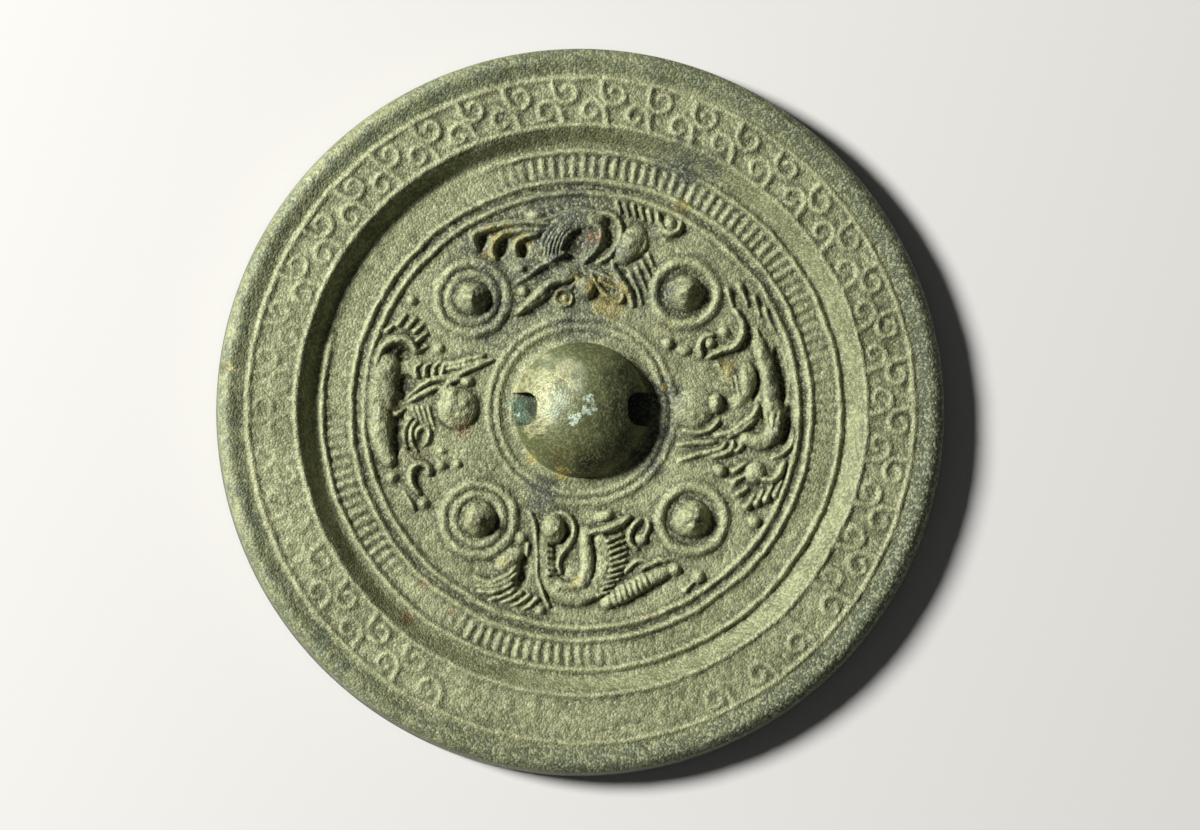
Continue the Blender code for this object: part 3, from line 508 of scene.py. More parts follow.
def right_beast():
    """A crouching beast that faces the knob, its haunch and claws along the border."""
    mounds = hollows((30.3, 5.4, 1.0, 4.8, 8), (31.2, -2.2, 0.9, 3.4, -10), (26.5, 3.8, 0.6, 2.8, -8))
    mounds += [(17.0, 0.4, 3.3, 3.0, 0, 1.0), (20.3, 1.1, 1.1, 1.7, 0, 1.7), (25.2, 4.7, 1.4, 2.8, 0, 1.1),
               (26.3, -9.6, 1.6, 1.8, 0, 1.2), (22.2, 5.4, 1.2, 1.6, 20, 0.5), (24.0, 1.6, 1.6, 1.2, 40, 0.5)]
    mounds += dots((13.2, 10.2, 0.9), (15.7, 9.2, 0.9), (19.5, 10.2, 0.9), (21.6, 11.8, 0.9),
                   (21.0, -9.2, 1.0), (26.2, -16.9, 1.0))
    lines = limb(3.0, 1.25, (27.0, 10.2), (28.0, 6.8), (28.7, 3.4), (28.9, 0.6), (29.3, -1.8), (28.7, -3.9),
                 (26.9, -4.8), (25.0, -4.3))
    lines += ridge(1.1, (18.2, 8.2), (17.8, 9.6), (18.6, 11.0), (20.0, 11.4))
    lines += ridge(1.3, (19.2, 8.0), (21.0, 8.9), (22.8, 9.4), (24.1, 10.6), (24.5, 12.3), (24.1, 14.0),
                   (23.2, 15.2))
    lines += hair(1.0, (22.2, 18.4), (22.9, 15.8))
    lines += hair(1.1, (24.0, 19.0), (25.2, 15.9))
    lines += hair(0.9, (26.2, 17.2), (27.2, 14.4))
    lines += hair(0.9, (28.0, 15.4), (28.7, 13.4), (29.6, 12.2))
    lines += hair(0.8, (26.7, 12.2), (27.4, 10.8))
    lines += ridge(0.9, (15.6, -2.9), (17.4, -3.4), (19.4, -3.0), (20.8, -1.6))
    lines += fan(3, 0.7, ((20.8, 7.0), (22.4, 4.4)), ((23.4, 5.2), (24.0, 2.0)))
    lines += ridge(1.1, (20.4, -3.9), (22.6, -3.3), (24.4, -2.2), (26.0, -0.8), (26.9, 0.8))
    lines += ridge(0.9, (22.2, -4.1), (24.4, -3.0), (26.4, -1.3))
    lines += ridge(0.9, (14.8, -5.4), (17.5, -5.0), (20.2, -4.8))
    lines += ridge(0.9, (14.8, -7.8), (17.2, -6.9), (19.4, -6.3), (21.2, -5.8), (21.9, -4.8))
    lines += ridge(1.0, (19.8, -7.1), (21.6, -6.7), (22.9, -5.9), (23.0, -4.7))
    lines += ridge(0.9, (23.4, -6.3), (24.3, -5.5), (24.0, -4.6))
    lines += ridge(0.8, (32.1, -2.5), (32.0, -4.8), (30.6, -6.6), (28.9, -7.3))
    lines += ridge(1.3, (27.4, -10.6), (29.0, -10.6), (30.2, -9.4), (30.9, -7.9))
    lines += fan(3, 1.0, ((23.2, -9.3), (24.9, -8.1)), ((23.8, -12.7), (25.2, -11.9)), bow=(-0.4, 0.0))
    lines += fan(4, 1.1, ((25.0, -14.7), (26.2, -12.9)), ((29.4, -12.9), (30.4, -10.7)))
    lines += fan(3, 0.4, ((27.4, -0.4), (28.0, -3.2)), ((29.6, -0.8), (29.0, -3.2)), height=-CUT_DEPTH)
    return mounds, lines


def bottom_beast():
    """A coiled serpent with a combed flank, a feathered wing and a ribbed tail."""
    mounds = hollows((-3.3, -18.8, 1.3, 1.9, -20), (-4.4, -23.2, 0.6, 2.4, 0), (-8.9, -24.6, 0.8, 2.8, -12))
    mounds += [(-4.3, -18.1, 2.0, 2.3, 0, 1.9), (3.5, -16.1, 1.5, 0.9, 15, 1.0),
               (-10.9, -22.6, 2.6, 1.4, 35, 1.0), (-1.2, -25.2, 1.4, 1.6, 0, 0.4)]
    mounds += dots((9.0, -19.6, 1.0), (14.0, -24.2, 1.1), (-9.2, -19.5, 0.9), (17.8, -25.4, 1.0),
                   (-6.3, -30.4, 0.8))
    lines = limb(2.9, 1.1, (-5.2, -18.6), (-5.3, -20.4), (-5.2, -22.5), (-4.9, -25.0), (-4.0, -26.9),
                 (-2.4, -28.1), (-0.4, -28.3), (1.4, -27.6), (2.6, -26.0), (3.2, -24.0), (3.3, -21.8),
                 (2.9, -19.8))
    lines += limb(2.4, 1.35, (0.7, -18.4), (0.6, -21.0), (0.7, -23.6), (0.2, -25.8), (-1.2, -27.0),
                  (-3.0, -26.8), (-4.0, -25.8))
    lines += fan(6, 0.5, ((-4.8, -20.6), (-3.5, -20.9)), ((-4.7, -25.2), (-3.4, -25.6)), height=-CUT_DEPTH)
    lines += ridge(0.9, (-4.6, -16.0), (-3.2, -15.7), (-1.9, -16.2), (-1.1, -17.4), (-1.1, -19.0),
                   (-1.9, -20.5), (-3.0, -21.9), (-3.5, -23.4), (-3.1, -24.8))
    lines += ridge(1.3, (0.8, -18.7), (2.4, -18.4), (4.2, -18.0), (5.8, -17.2), (7.2, -16.2))
    lines += fan(10, 0.8, ((3.8, -20.0), (6.4, -18.9)), ((2.4, -28.2), (4.3, -27.6)), bow=(1.2, 0.0),
                 height=1.3)
    lines += ridge(0.9, (-7.9, -15.5), (-7.2, -17.0), (-6.9, -19.5), (-6.8, -22.5), (-6.7, -25.0),
                   (-6.0, -27.6), (-4.9, -29.8))
    lines += ridge(1.0, (-9.9, -23.8), (-11.2, -24.9), (-13.2, -25.9), (-15.0, -25.9), (-16.2, -25.2))
    lines += ridge(0.9, (-9.8, -24.8), (-11.4, -25.9), (-13.4, -26.7), (-15.8, -26.7))
    lines += ridge(0.9, (-10.4, -26.2), (-12.2, -27.1), (-13.9, -27.6), (-15.6, -27.5))
    lines += fan(4, 0.9, ((-10.4, -27.3), (-12.2, -28.2), (-14.0, -28.7)),
                 ((-6.9, -28.6), (-7.8, -29.6), (-8.8, -30.2)))
    lines += limb(2.8, 1.3, (3.8, -29.2), (5.6, -28.3), (8.2, -26.9), (10.6, -25.6), (12.6, -24.6))
    lines += ridge(0.9, (6.6, -24.6), (7.8, -23.3), (9.0, -22.9), (10.4, -23.2))
    lines += ridge(0.9, (8.8, -24.6), (10.2, -23.6), (11.8, -22.8), (13.0, -23.0))
    lines += ridge(1.0, (9.0, -16.5), (7.9, -17.4), (7.2, -19.0), (7.5, -20.4), (8.5, -21.2))
    lines += ridge(0.8, (10.2, -16.8), (10.0, -18.2), (9.4, -19.2))
    lines += hair(0.8, (-8.2, -20.4), (-8.3, -22.2))
    lines += hair(0.9, (15.8, -27.4), (17.0, -26.2))
    lines += fan(8, 0.45, ((4.2, -27.9), (4.8, -30.0)), ((10.0, -25.2), (10.8, -27.4)), height=-CUT_DEPTH)
    return mounds, lines


# Pressing marks into the height map

def window(x, y, reach):
    """The rows and columns of the height map within reach of some points."""
    spans = []
    for values in (y, x):
        first, last = (int(np.clip(v / MAP_PITCH + map_half, 0, 2 * map_half))
                       for v in (min(values) - reach, max(values) + reach))
        spans.append(slice(first, last + 2))
    return tuple(spans)


def lift(relief, area, mark):
    """Raise part of the height map to a mark's height, and leave the rest, hollows too, as it is."""
    relief[area] = np.where(mark > 0, np.maximum(relief[area], mark), relief[area])


def press_line(relief, line, scale):
    """Raise a line, or cut it in where its height is negative; all of it in units of the scale."""
    path, halves, height, roundness = line
    widest = max(halves)
    spots_x = [x * scale for x, _ in path]
    spots_y = [y * scale for _, y in path]
    area = window(spots_x, spots_y, widest * scale)
    mark = np.zeros(relief[area].shape)
    for (ax, ay), (bx, by), start, end in zip(path, path[1:], halves, halves[1:]):
        ax, ay, bx, by = ax * scale, ay * scale, bx * scale, by * scale
        part = window((ax, bx), (ay, by), max(start, end) * scale)
        x, y = map_x[part], map_y[part]
        t = ((x - ax) * (bx - ax) + (y - ay) * (by - ay)) / ((bx - ax) ** 2 + (by - ay) ** 2 + 1e-18)
        t = np.clip(t, 0, 1)
        half = start + (end - start) * t
        away = np.hypot(x - ax - t * (bx - ax), y - ay - t * (by - ay)) / (half * scale)
        peak = abs(height) * scale * (THIN_SHARE + (1 - THIN_SHARE) * half / widest)
        local = tuple(slice(p.start - a.start, p.stop - a.start) for p, a in zip(part, area))
        mark[local] = np.maximum(mark[local], peak * np.clip(1 - away ** 2, 0, 1) ** roundness)
    if height < 0:
        relief[area] -= mark
    else:
        lift(relief, area, mark)


def press_mound(relief, x, y, length, width, turn, height):
    """Raise a rounded mound, or sink a hollow where its height is negative; lengths in metres."""
    area = window((x,), (y,), max(length, width))
    c, s = cos(radians(turn)), sin(radians(turn))
    along = ((map_x[area] - x) * c + (map_y[area] - y) * s) / length
    across = ((map_y[area] - y) * c - (map_x[area] - x) * s) / width
    inside = np.clip(1 - along ** 2 - across ** 2, 0, 1)
    if height < 0:
        relief[area] += height * eased(inside * HOLLOW_STEEPNESS)
    else:
        lift(relief, area, height * inside ** MOUND_FULLNESS)


def press_ring(relief, radius, width, height, x=0.0, y=0.0):
    """Raise a ring ridge; the height may be a map."""
    away = (np.hypot(map_x - x, map_y - y) - radius) / (width / 2)
    lift(relief, ..., height * np.clip(1 - away ** 2, 0, 1))


def press_beast(relief, drawing):
    """Press one beast: its hollows and mounds, then its lines."""
    mounds, lines = drawing
    for x, y, length, width, turn, height in mounds:
        press_mound(relief, x * unit, y * unit, length * unit, width * unit, turn, height * unit)
    for line in lines:
        press_line(relief, line, unit)


def press_nipples(relief):
    """Press four nipples, each a swollen cone with a blunt point, and their rings."""
    for x, y, rings in NIPPLES:
        x, y = x * unit, y * unit
        area = window((x,), (y,), NIPPLE_RADIUS)
        away = np.hypot(map_x[area] - x, map_y[area] - y) / NIPPLE_RADIUS
        cone = np.clip(NIPPLE_SPREAD - np.sqrt(away ** 2 + NIPPLE_BLUNTNESS), 0, None)
        cone = cone * (1 + NIPPLE_SWELL * np.clip(away, 0, 1))
        lift(relief, area, NIPPLE_HEIGHT * cone)
        for radius in rings:
            press_ring(relief, radius, NIPPLE_RING_WIDTH, RIDGE_HEIGHT, x, y)


def press_comb(relief):
    """Press the comb teeth, fainter where they are worn."""
    pitch = radians(360.0 / COMB_COUNT)
    phase = (np.radians(map_angle) - radians(COMB_START)) / pitch
    off = (phase - np.round(phase)) * pitch * map_radius / (TOOTH_WIDTH / 2)
    ends = np.clip((map_radius - comb_inner) / TOOTH_END, 0, 1)
    ends = ends * np.clip((comb_outer - map_radius) / TOOTH_END, 0, 1)
    teeth = TOOTH_HEIGHT * np.clip(1 - off ** 2, 0, 1) ** TOOTH_ROUNDNESS * ends
    teeth = teeth * by_angle(COMB_WEAR, map_angle)
    lift(relief, ..., teeth)


def press_scrolls(relief):
    """Press two rows of cloud scrolls, facing each other and half a pitch apart."""
    stem = SCROLL_BAND_WIDTH / 4 / SCROLL_SIZE
    curl = [(SCROLL_STEM_PLACE, stem)]
    for step in range(SCROLL_STEPS + 1):
        turn = radians(SCROLL_START + SCROLL_SWEEP * step / SCROLL_STEPS)
        reach = SCROLL_REACH - SCROLL_WIND_IN * step / SCROLL_STEPS
        curl.append((reach * cos(turn), reach * sin(turn)))
    halves = [SCROLL_LINE_WIDTH / 2 * (1 - SCROLL_THINNING * i / len(curl)) for i in range(len(curl))]
    for start, row_radius, side, wear in (OUTER_SCROLLS, INNER_SCROLLS):
        for i in range(SCROLL_COUNT):
            angle = start + 360.0 * i / SCROLL_COUNT - SCROLL_DRIFT * sin(pi * i / SCROLL_COUNT)
            c, s = cos(radians(angle)), sin(radians(angle))
            path = []
            for along, out in curl:
                out = row_radius + side * out * SCROLL_SIZE
                along = side * along * SCROLL_SIZE
                path.append((out * c - along * s, out * s + along * c))
            strength = float(by_angle(wear, angle % 360))
            press_line(relief, (path, halves, SCROLL_LINE_HEIGHT * strength, ROUND), 1.0)


def relief_map():
    """Everything that stands on the turned back, as a height map."""
    relief = np.zeros(map_radius.shape)
    for drawing in (top_beast(), left_beast(), right_beast(), bottom_beast()):
        press_beast(relief, drawing)
    worn_ridge = RIDGE_HEIGHT * by_angle(RIDGE_WEAR, map_angle)
    press_ring(relief, comb_outer + RIDGE_WIDTH / 2, RIDGE_WIDTH, worn_ridge)
    for radius in (groove_outer + RIDGE_WIDTH / 2, field_radius + RIDGE_WIDTH / 2):
        press_ring(relief, radius, RIDGE_WIDTH, RIDGE_HEIGHT)
    for radius in (scroll_outer + BEAD_WIDTH / 2, scroll_inner - BEAD_WIDTH / 2):
        press_ring(relief, radius, BEAD_WIDTH, BEAD_HEIGHT)
    for radius in KNOB_RING_RADII:
        press_ring(relief, radius, KNOB_RING_WIDTH, KNOB_RING_HEIGHT)
    press_comb(relief)
    press_scrolls(relief)
    press_nipples(relief)
    for x, y, reach, depth in CHIPS:
        press_mound(relief, x, y, reach, reach, 0, -depth)
    relief += KNOB_FOOT_HEIGHT * np.exp(-((map_radius - KNOB_RADIUS) / KNOB_FOOT_WIDTH) ** 2)
    drift_x, drift_y = (HAND_DRIFT * noise(map_x, map_y, HAND_DRIFT_SIZE, seed)
                        + FRAYED * noise(map_x, map_y, FRAYED_SIZE, seed + 1) for seed in (5, 9))
    relief = sampled(relief, map_x + drift_x, map_y + drift_y)
    wear = 1.0
    for share, size, seed in UNEVEN_WEAR:
        wear = wear + share * noise(map_x, map_y, size, seed)
    relief *= wear
    crisp, soft = (blurred(relief, softness) for softness in (CASTING_SOFTNESS, SKIRT_SOFTNESS))
    return (1 - SKIRT_SHARE) * crisp + SKIRT_SHARE * soft


def corrosion_map():
    """Swells, lumps and pits of the corroded surface."""
    pits = eased((noise(map_x, map_y, PIT_SIZE, 51) - PIT_START) / PIT_RANGE)
    swell = SWELL_HEIGHT * noise(map_x, map_y, SWELL_SIZE, 11)
    lumps = LUMP_HEIGHT * noise(map_x, map_y, LUMP_SIZE, 23)
    return swell + lumps - PIT_DEPTH * pits


# The turned back

def back_height(radius):
    """Height of the turned back at a radius, without its ridges."""
    stops = ((0.0, FIELD_THICKNESS),
             (wall_foot - WALL_EASE, FIELD_THICKNESS),
             (wall_foot + WALL_EASE, FIELD_THICKNESS + WALL_EASE),
             (wall_top - WALL_EASE, RIM_THICKNESS - WALL_EASE),
             (wall_top + WALL_BRINK, RIM_THICKNESS),
             (lip_foot, RIM_THICKNESS),
             (lip_foot + LIP_RISE_WIDTH, RIM_THICKNESS + LIP_RISE_SHARE * LIP_HEIGHT),
             (lip_crest - LIP_SHOULDER_INSET, RIM_THICKNESS + LIP_SHOULDER_SHARE * LIP_HEIGHT),
             (lip_crest, RIM_THICKNESS + LIP_HEIGHT),
             (lip_crest + LIP_SLOPE_OUTSET, RIM_THICKNESS + LIP_SLOPE_SHARE * LIP_HEIGHT),
             (side_top - LIP_EDGE_INSET, RIM_THICKNESS + LIP_EDGE_SHARE * LIP_HEIGHT),
             (side_top, FACE_SAG + SIDE_HEIGHT))
    height = np.interp(radius, [stop[0] for stop in stops], [stop[1] for stop in stops])
    dome = np.clip(1 - (radius / KNOB_RADIUS) ** 2, 0, 1)
    nub = NUB_HEIGHT * np.clip(1 - (radius / NUB_RADIUS) ** 2, 0, 1)
    return height + KNOB_HEIGHT * dome ** KNOB_FULLNESS + nub


def half_section():
    """Points of the half section: out along the back, down the side and in along the face."""
    radii = [0.0]
    for edge, pitch in BACK_ROWS:
        count = ceil((edge - radii[-1]) / (pitch * ROW_SCALE))
        start = radii[-1]
        radii += [start + (edge - start) * (i + 1) / count for i in range(count)]
    points = [(radius, float(back_height(radius))) for radius in radii]
    shoulder = FACE_SAG + SIDE_HEIGHT
    for i in range(SIDE_ROWS + 1):
        height = shoulder + (FACE_SAG - shoulder) * i / SIDE_ROWS
        points.append((side_top + SIDE_TAPER * i / SIDE_ROWS, height))
    for i in range(1, FACE_ROWS + 1):
        radius = MIRROR_RADIUS * (1 - i / FACE_ROWS)
        rise = (radius ** 2 - FLAT_SPOT_RADIUS ** 2) / (MIRROR_RADIUS ** 2 - FLAT_SPOT_RADIUS ** 2)
        points.append((radius, FACE_SAG * max(rise, 0.0)))
    return points


def edit_selected(obj, mode, chosen):
    """Enter edit mode with only the vertices, edges or faces selected that a test chooses."""
    bpy.ops.object.mode_set(mode="EDIT")
    bpy.ops.mesh.select_mode(type=mode)
    bpy.ops.mesh.select_all(action="DESELECT")
    bpy.ops.object.mode_set(mode="OBJECT")
    for item in {"VERT": obj.data.vertices, "EDGE": obj.data.edges}[mode]:
        item.select = chosen(item)
    bpy.ops.object.mode_set(mode="EDIT")


def apply_modifier(piece, kind, **settings):
    """Add one modifier and apply it."""
    bpy.ops.object.select_all(action="DESELECT")
    piece.select_set(True)
    bpy.context.view_layer.objects.active = piece
    modifier = piece.modifiers.new(kind.title(), kind)
    for name, value in settings.items():
        setattr(modifier, name, value)
    bpy.ops.object.modifier_apply(modifier=modifier.name)


def turned_blank(name, section):
    """A plain turned mirror: one corner of a plane, extruded along the section and turned."""
    bpy.ops.object.select_all(action="DESELECT")
    bpy.ops.mesh.primitive_plane_add(size=MIRROR_RADIUS)
    blank = bpy.context.object
    blank.name = name
    blank.data.name = name
    edit_selected(blank, "VERT", lambda vert: vert.index > 0)
    bpy.ops.mesh.delete(type="VERT")
    bpy.ops.object.mode_set(mode="OBJECT")
    blank.data.vertices[0].co = (section[0][0], 0.0, section[0][1])
    bpy.ops.object.mode_set(mode="EDIT")
    bpy.ops.mesh.select_all(action="SELECT")
    for (radius, height), (next_radius, next_height) in zip(section, section[1:]):
        step = (next_radius - radius, 0, next_height - height)
        bpy.ops.mesh.extrude_vertices_move(TRANSFORM_OT_translate={"value": step})
    bpy.ops.object.mode_set(mode="OBJECT")
    apply_modifier(blank, "SCREW", steps=TURN_STEPS, render_steps=TURN_STEPS,
                   use_merge_vertices=True, merge_threshold=MERGE_DISTANCE)
    bpy.ops.object.mode_set(mode="EDIT")
    bpy.ops.mesh.select_all(action="SELECT")
    bpy.ops.mesh.normals_make_consistent(inside=False)
    bpy.ops.object.mode_set(mode="OBJECT")
    return blank


def vertex_places(mesh):
    """The x, y and z of a mesh's vertices."""
    co = np.empty(len(mesh.vertices) * 3)
    mesh.vertices.foreach_get("co", co)
    return co.reshape(-1, 3).T.copy()


def press_into(piece, relief, corrosion):
    """Press the relief and the corrosion into the back, and less of the corrosion into the knob."""
    x, y, z = vertex_places(piece.data)
    radius = np.hypot(x, y)
    on_back = (z > FIELD_THICKNESS * BACK_LEVEL) & (radius < side_top)
    rough = CALM_KNOB + (1 - CALM_KNOB) * eased((radius - KNOB_RADIUS * CALM_START) / CALM_FADE)
    raised = z + sampled(relief, x, y) + rough * sampled(corrosion, x, y)
    z = np.where(on_back, np.minimum(raised, MIRROR_TOP), z)
    piece.data.vertices.foreach_set("co", np.stack((x, y, z), axis=1).ravel())
    piece.data.update()


def keep_inside(piece):
    """Bring back the few points that thinning the mesh pushed past the mirror's size."""
    x, y, z = vertex_places(piece.data)
    pull = np.minimum(1.0, MIRROR_RADIUS / np.maximum(np.hypot(x, y), MAP_PITCH))
    z = np.clip(z, mirror_low.z, MIRROR_TOP)
    piece.data.vertices.foreach_set("co", np.stack((x * pull, y * pull, z), axis=1).ravel())
    piece.data.update()


def cut_cord_hole(piece):
    """Cut the hole for the cord straight through the knob: flat floor, rounded vault, flared mouths."""
    sill = FIELD_THICKNESS + CORD_HOLE_SILL
    middle = sill + CORD_HOLE_HEIGHT / 2
    length = CORE_REACH * KNOB_RADIUS
    bpy.ops.object.select_all(action="DESELECT")
    bpy.ops.mesh.primitive_cube_add(size=1)
    core = bpy.context.object
    core.name = "cord_hole_core"
    bpy.ops.object.mode_set(mode="EDIT")
    bpy.ops.mesh.select_all(action="SELECT")
    bpy.ops.transform.resize(value=(length, CORD_HOLE_WIDTH, CORD_HOLE_HEIGHT))
    bpy.ops.transform.translate(value=(0, 0, middle))
    bpy.ops.object.mode_set(mode="OBJECT")
    corners = core.data.vertices
    edit_selected(core, "EDGE", lambda edge: all(corners[i].co.z > middle for i in edge.vertices)
                  and corners[edge.vertices[0]].co.x * corners[edge.vertices[1]].co.x < 0)
    bpy.ops.mesh.bevel(offset=CORD_HOLE_CORNER, segments=CORD_HOLE_CORNER_STEPS)
    bpy.ops.mesh.select_all(action="SELECT")
    bpy.ops.mesh.bisect(plane_co=(0, 0, 0), plane_no=(1, 0, 0))
    bpy.ops.object.mode_set(mode="OBJECT")
    edit_selected(core, "VERT", lambda vert: abs(vert.co.x) > length / 4)
    bpy.ops.transform.resize(value=(1, CORD_HOLE_FLARE, CORD_HOLE_FLARE), center_override=(0, 0, sill))
    bpy.ops.mesh.select_all(action="SELECT")
    bpy.ops.mesh.subdivide(number_cuts=CORD_HOLE_CUTS)
    bpy.ops.object.mode_set(mode="OBJECT")
    apply_modifier(piece, "BOOLEAN", operation="DIFFERENCE", object=core, solver="EXACT")
    bpy.data.objects.remove(core)


# Looks

def patina(piece, relief):
    """Keep, on the finished surface, what the material has to know of each place."""
    mesh = piece.data
    x, y, z = vertex_places(mesh)
    radius, angle = np.hypot(x, y), np.degrees(np.arctan2(y, x)) % 360
    on_back = z > FIELD_THICKNESS * SKIN_LEVEL
    below = sampled(blurred(relief, CREVICE_REACH) - relief, x, y)
    sunk = eased(-sampled(relief, x, y) / SUNK_DEPTH)
    under = back_height(radius) - z
    # hollow: crevices and sunk places, coloured darker as patina and painted shade
    fields = {"hollow": np.maximum(eased(below / CREVICE_DEPTH), SUNK_SHARE * sunk) * on_back,
              "raised": eased(-below / CREVICE_DEPTH) * on_back,
              "back": on_back.astype(float),
              "knob": eased((KNOB_RADIUS - radius) / KNOB_FADE + 0.5) * on_back,
              "lip": eased((radius - lip_foot) / LIP_FADE) * on_back,
              # hole: inside the cord hole, coloured as dark teal corrosion with painted shade
              "hole": eased(under / HOLE_FADE - HOLE_START) * (radius < KNOB_RADIUS) * on_back,
              # lit: how far round the mirror a place faces the key light; it sets where the lip gets painted
              # shade
              "lit": np.cos(np.radians(angle - LIT_ANGLE)) * 0.5 + 0.5}
    ragged = RAGGED_SHARE * noise(x, y, RAGGED_SIZE, 71)
    broad = BROAD_SHARE * noise(x, y, BROAD_SIZE, 77)
    for name, spots in PATCHES.items():
        mask = np.zeros(len(x))
        fade = SHARP_FADE if name in CRUMBLED else SOFT_FADE
        for spot_x, spot_y, reach in spots:
            away = np.hypot(x - spot_x * unit, y - spot_y * unit) / (reach * unit)
            mask = np.maximum(mask, eased((PATCH_SPREAD - away + ragged + broad) / fade))
        fields[name] = mask * on_back
    for name, values in fields.items():
        layer = mesh.attributes.new(name, "FLOAT", "POINT")
        layer.data.foreach_set("value", values.astype(np.float32))


def linear(hex_colour):
    """A linear RGBA colour from an sRGB hex value."""
    channels = [int(hex_colour[i:i + 2], 16) / 255 for i in (1, 3, 5)]
    return tuple(c / 12.92 if c <= 0.04045 else ((c + 0.055) / 1.055) ** 2.4 for c in channels) + (1.0,)


def add_node(tree, kind, inputs=None, **settings):
    """Add a node with its settings; each input takes a value or another node's socket."""
    node = tree.nodes.new(kind)
    for name, value in settings.items():
        setattr(node, name, value)
    for socket, value in (inputs or {}).items():
        if isinstance(value, bpy.types.NodeSocket):
            tree.links.new(value, node.inputs[socket])
        else:
            node.inputs[socket].default_value = value
    return node


def product(tree, first, second):
    """Two values multiplied."""
    return add_node(tree, "ShaderNodeMath", {0: first, 1: second}, operation="MULTIPLY").outputs[0]


def between(tree, value, span, result=(0.0, 1.0)):
    """A value's way through one span, as the same way through another."""
    return add_node(tree, "ShaderNodeMapRange", {"Value": value, "From Min": span[0], "From Max": span[1],
                                                 "To Min": result[0], "To Max": result[1]}).outputs[0]


def laid_over(tree, share, under, over):
    """One colour laid over another, by a share."""
    return add_node(tree, "ShaderNodeMix", {0: share, 6: under, 7: over}, data_type="RGBA").outputs[2]


def two_tones(tree, value, low, low_colour, high, high_colour):
    """A colour that goes from one tone to another as a value goes from low to high."""
    node = add_node(tree, "ShaderNodeValToRGB", {"Fac": value})
    for element, place, tone in zip(node.color_ramp.elements, (low, high), (low_colour, high_colour)):
        element.position = place
        element.color = linear(tone)
    return node.outputs["Color"]


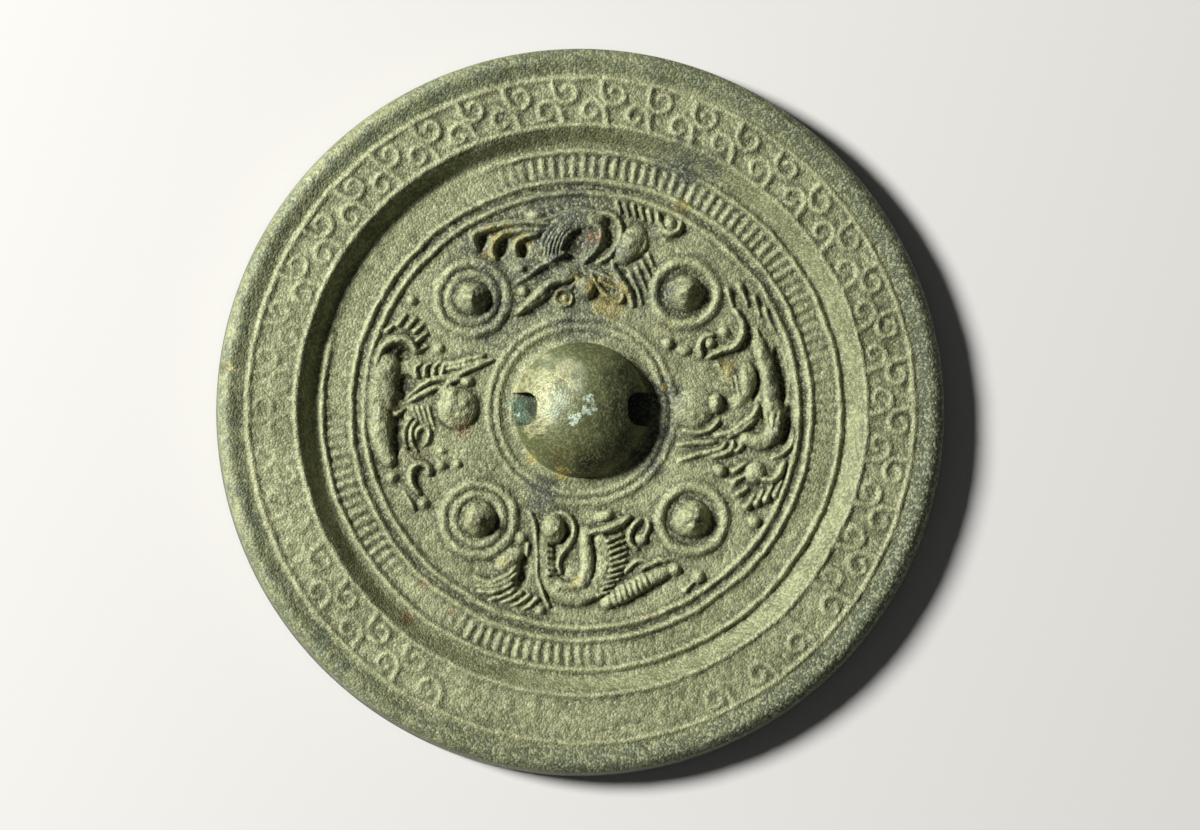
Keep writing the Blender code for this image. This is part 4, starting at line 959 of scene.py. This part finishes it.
def patinated_cast_bronze():
    """High-tin bronze, cast, then buried in damp ground.

    It gives the eye a dull, sandy, olive-green skin that hides the metal, paler
    on what stands up and darker in the hollows, partly patina and partly painted
    shade, with rusty and ochre spots. Painted shade also darkens the lip on its
    side away from the light and the shaded sides of the knob and nipples, painted
    shadow tints the ground right of the knob, and a painted sheen lightens the
    knob's upper left.
    """
    material = bpy.data.materials.new("patinated_cast_bronze")
    material.use_nodes = True
    tree = material.node_tree
    tree.nodes.clear()
    place = add_node(tree, "ShaderNodeTexCoord").outputs["Object"]
    masks = {name: add_node(tree, "ShaderNodeAttribute", attribute_name=name).outputs["Fac"]
             for name in ("hollow", "raised", "back", "knob", "lip", "hole", "lit", *PATCHES)}
    cloud, blotch, speck = (
        add_node(tree, "ShaderNodeTexNoise", {"Vector": place, "Scale": 1 / size, "Detail": detail,
                                              "Roughness": 0.65}).outputs["Fac"]
        for size, detail in ((CLOUD_SIZE, 4.0), (BLOTCH_SIZE, 5.0), (SPECK_SIZE, 3.0)))
    sand = add_node(tree, "ShaderNodeTexVoronoi", {"Vector": place, "Scale": 1 / SAND_GRAIN})
    sandy = between(tree, masks["knob"], (0.0, 1.0), (1.0, KNOB_SAND))
    pale_grain = product(tree, between(tree, sand.outputs["Color"], PALE_GRAIN), sandy)
    dark_grain = product(tree, between(tree, sand.outputs["Color"], DARK_GRAIN), sandy)
    dark_blotch = between(tree, blotch, DARK_BLOTCH, (0.0, DARK_BLOTCH_COVER))
    crumbled = {}
    for name in CRUMBLED:
        crumbs = add_node(tree, "ShaderNodeMath", {0: masks[name], 1: speck}, operation="ADD").outputs[0]
        crumbled[name] = between(tree, crumbs, CRUMBS)
    # Painted shade: the lip is darkened on its side away from the key light
    away_from_light = between(tree, masks["lit"], (1.0, 0.0))
    mottled_lip = product(tree, masks["lip"], between(tree, blotch, LIP_MOTTLE))
    painted_shade_lip = product(tree, masks["lip"], away_from_light)

    # Patina in layers, from the lowest up: where it lies, its colour and how much it covers; painted shade,
    # shadow and sheen are laid in among them
    layers = ((dark_blotch, "#565b3f", 0.75), (masks["raised"], "#b6b98d", 0.45),
              # the bloom layer is blue-grey patina, and painted shadow right of the knob
              # the darkest lip layer is painted shade on the side away from the key light
              (masks["bloom_and_shadow"], "#3f4848", 0.85), (mottled_lip, "#6b7b6a", 0.45), (painted_shade_lip, "#3c452d", 0.92),
              # the pale layer is painted sheen on the knob's side toward the light
              (masks["knob"], "#585e35", 0.82), (masks["pale"], "#a3af91", 0.65),
              # after the brown stain: painted shade, with some dark patina
              (masks["brown"], "#5a4a28", 0.6), (masks["shade_and_dark_patina"], "#1f2310", 0.94),
              (crumbled["tan"], "#b2b081", 0.85), (crumbled["ochre"], "#b3a14e", 0.75),
              # the hole layer is dark teal corrosion with painted shade inside the cord hole
              (crumbled["cuprite"], "#86502f", 0.7), (masks["hole"], "#2c3d33", 0.85),
              # the hollow layer is dark patina with painted shade in crevices and sunk places
              (masks["teal"], "#62836a", 0.8), (masks["hollow"], "#303120", 0.85),
              (pale_grain, "#d2d3a4", 0.3), (dark_grain, "#3a3e24", 0.34),
              (crumbled["mint"], "#cfe4cc", 0.95))
    colour = two_tones(tree, cloud, 0.34, "#767a55", 0.68, "#a2a67c")
    for mask, hex_colour, cover in layers:
        colour = laid_over(tree, product(tree, mask, cover), colour, linear(hex_colour))
    smooth_face = two_tones(tree, blotch, 0.4, "#474d3f", 0.7, "#787d6a")
    colour = laid_over(tree, masks["back"], smooth_face, colour)
    grain = add_node(tree, "ShaderNodeBump", {"Height": sand.outputs["Distance"], "Strength": sandy,
                                              "Distance": SAND_DEPTH}, invert=True)
    skin = add_node(tree, "ShaderNodeBump", {"Height": blotch, "Strength": 0.6, "Distance": BLOTCH_DEPTH,
                                             "Normal": grain.outputs["Normal"]})
    rough = between(tree, masks["knob"], (0.0, 1.0), (BACK_ROUGHNESS, KNOB_ROUGHNESS))
    shader = add_node(tree, "ShaderNodeBsdfPrincipled", {"Base Color": colour, "Roughness": rough,
                                                         "Metallic": 0.15, "Normal": skin.outputs["Normal"]})
    add_node(tree, "ShaderNodeOutputMaterial", {"Surface": shader.outputs[0]})
    return material


def matt_paper():
    """White-grey studio paper: flat and without gloss."""
    material = bpy.data.materials.new("matt_paper")
    material.use_nodes = True
    shader = material.node_tree.nodes["Principled BSDF"]
    shader.inputs["Base Color"].default_value = linear("#d9d7d2")
    shader.inputs["Roughness"].default_value = 0.95
    return material


# The mirror
relief = relief_map()
mirror = turned_blank("bronze_mirror_cast", half_section())
press_into(mirror, relief, corrosion_map())
apply_modifier(mirror, "DECIMATE", ratio=min(1.0, MOST_TRIANGLES / (2 * len(mirror.data.polygons))))
cut_cord_hole(mirror)
keep_inside(mirror)
patina(mirror, relief)
mirror.data.shade_smooth()
mirror.data.materials.append(patinated_cast_bronze())
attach(mirror, "root")
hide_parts("bronze_mirror")

# Floor
FLOOR_SIZE = 6
bpy.ops.object.select_all(action="DESELECT")
bpy.ops.mesh.primitive_plane_add(size=FLOOR_SIZE)
floor = bpy.context.object
floor.name = "floor"
floor.data.materials.append(matt_paper())

# Light: one large soft source, low on the left, and a weak pale fill
LIGHT_PLACE = Vector((-1.03, 0.38, 0.86))
LIGHT_SIZE = 0.36
LIGHT_POWER = 36.5
FILL_STRENGTH = 0.055
key_data = bpy.data.lights.new("key", "AREA")
key_data.shape = "DISK"
key_data.size = LIGHT_SIZE
key_data.energy = LIGHT_POWER
key = bpy.data.objects.new("key", key_data)
key.location = LIGHT_PLACE
key.rotation_euler = (-LIGHT_PLACE).to_track_quat("-Z", "Y").to_euler()
bpy.context.scene.collection.objects.link(key)
world = bpy.data.worlds.new("studio")
world.use_nodes = True
world.node_tree.nodes["Background"].inputs["Color"].default_value = linear("#e9ecef")
world.node_tree.nodes["Background"].inputs["Strength"].default_value = FILL_STRENGTH
bpy.context.scene.world = world
bpy.context.scene.view_settings.view_transform = "Standard"

# Camera, looking down on the back, a little from below
CAMERA_DISTANCE = 0.60
CAMERA_LEAN_RIGHT = -1.5
CAMERA_LEAN_DOWN = 3.0
CAMERA_TARGET = Vector((0.00275, -0.0008, 0.0040))
VIEW_WIDTH = 0.1803
SENSOR_WIDTH = 36.0
camera_data = bpy.data.cameras.new("camera")
camera_data.sensor_width = SENSOR_WIDTH
camera_data.lens = SENSOR_WIDTH * CAMERA_DISTANCE / VIEW_WIDTH
camera_data.clip_start = 0.01
camera = bpy.data.objects.new("camera", camera_data)
away = Vector((sin(radians(CAMERA_LEAN_RIGHT)), -sin(radians(CAMERA_LEAN_DOWN)), 1.0)).normalized()
across = Vector((0, 1, 0)).cross(away).normalized()
turn = Matrix((across, away.cross(across), away)).transposed().to_4x4()
camera.matrix_world = Matrix.Translation(CAMERA_TARGET + away * CAMERA_DISTANCE) @ turn
bpy.context.scene.collection.objects.link(camera)
bpy.context.scene.camera = camera
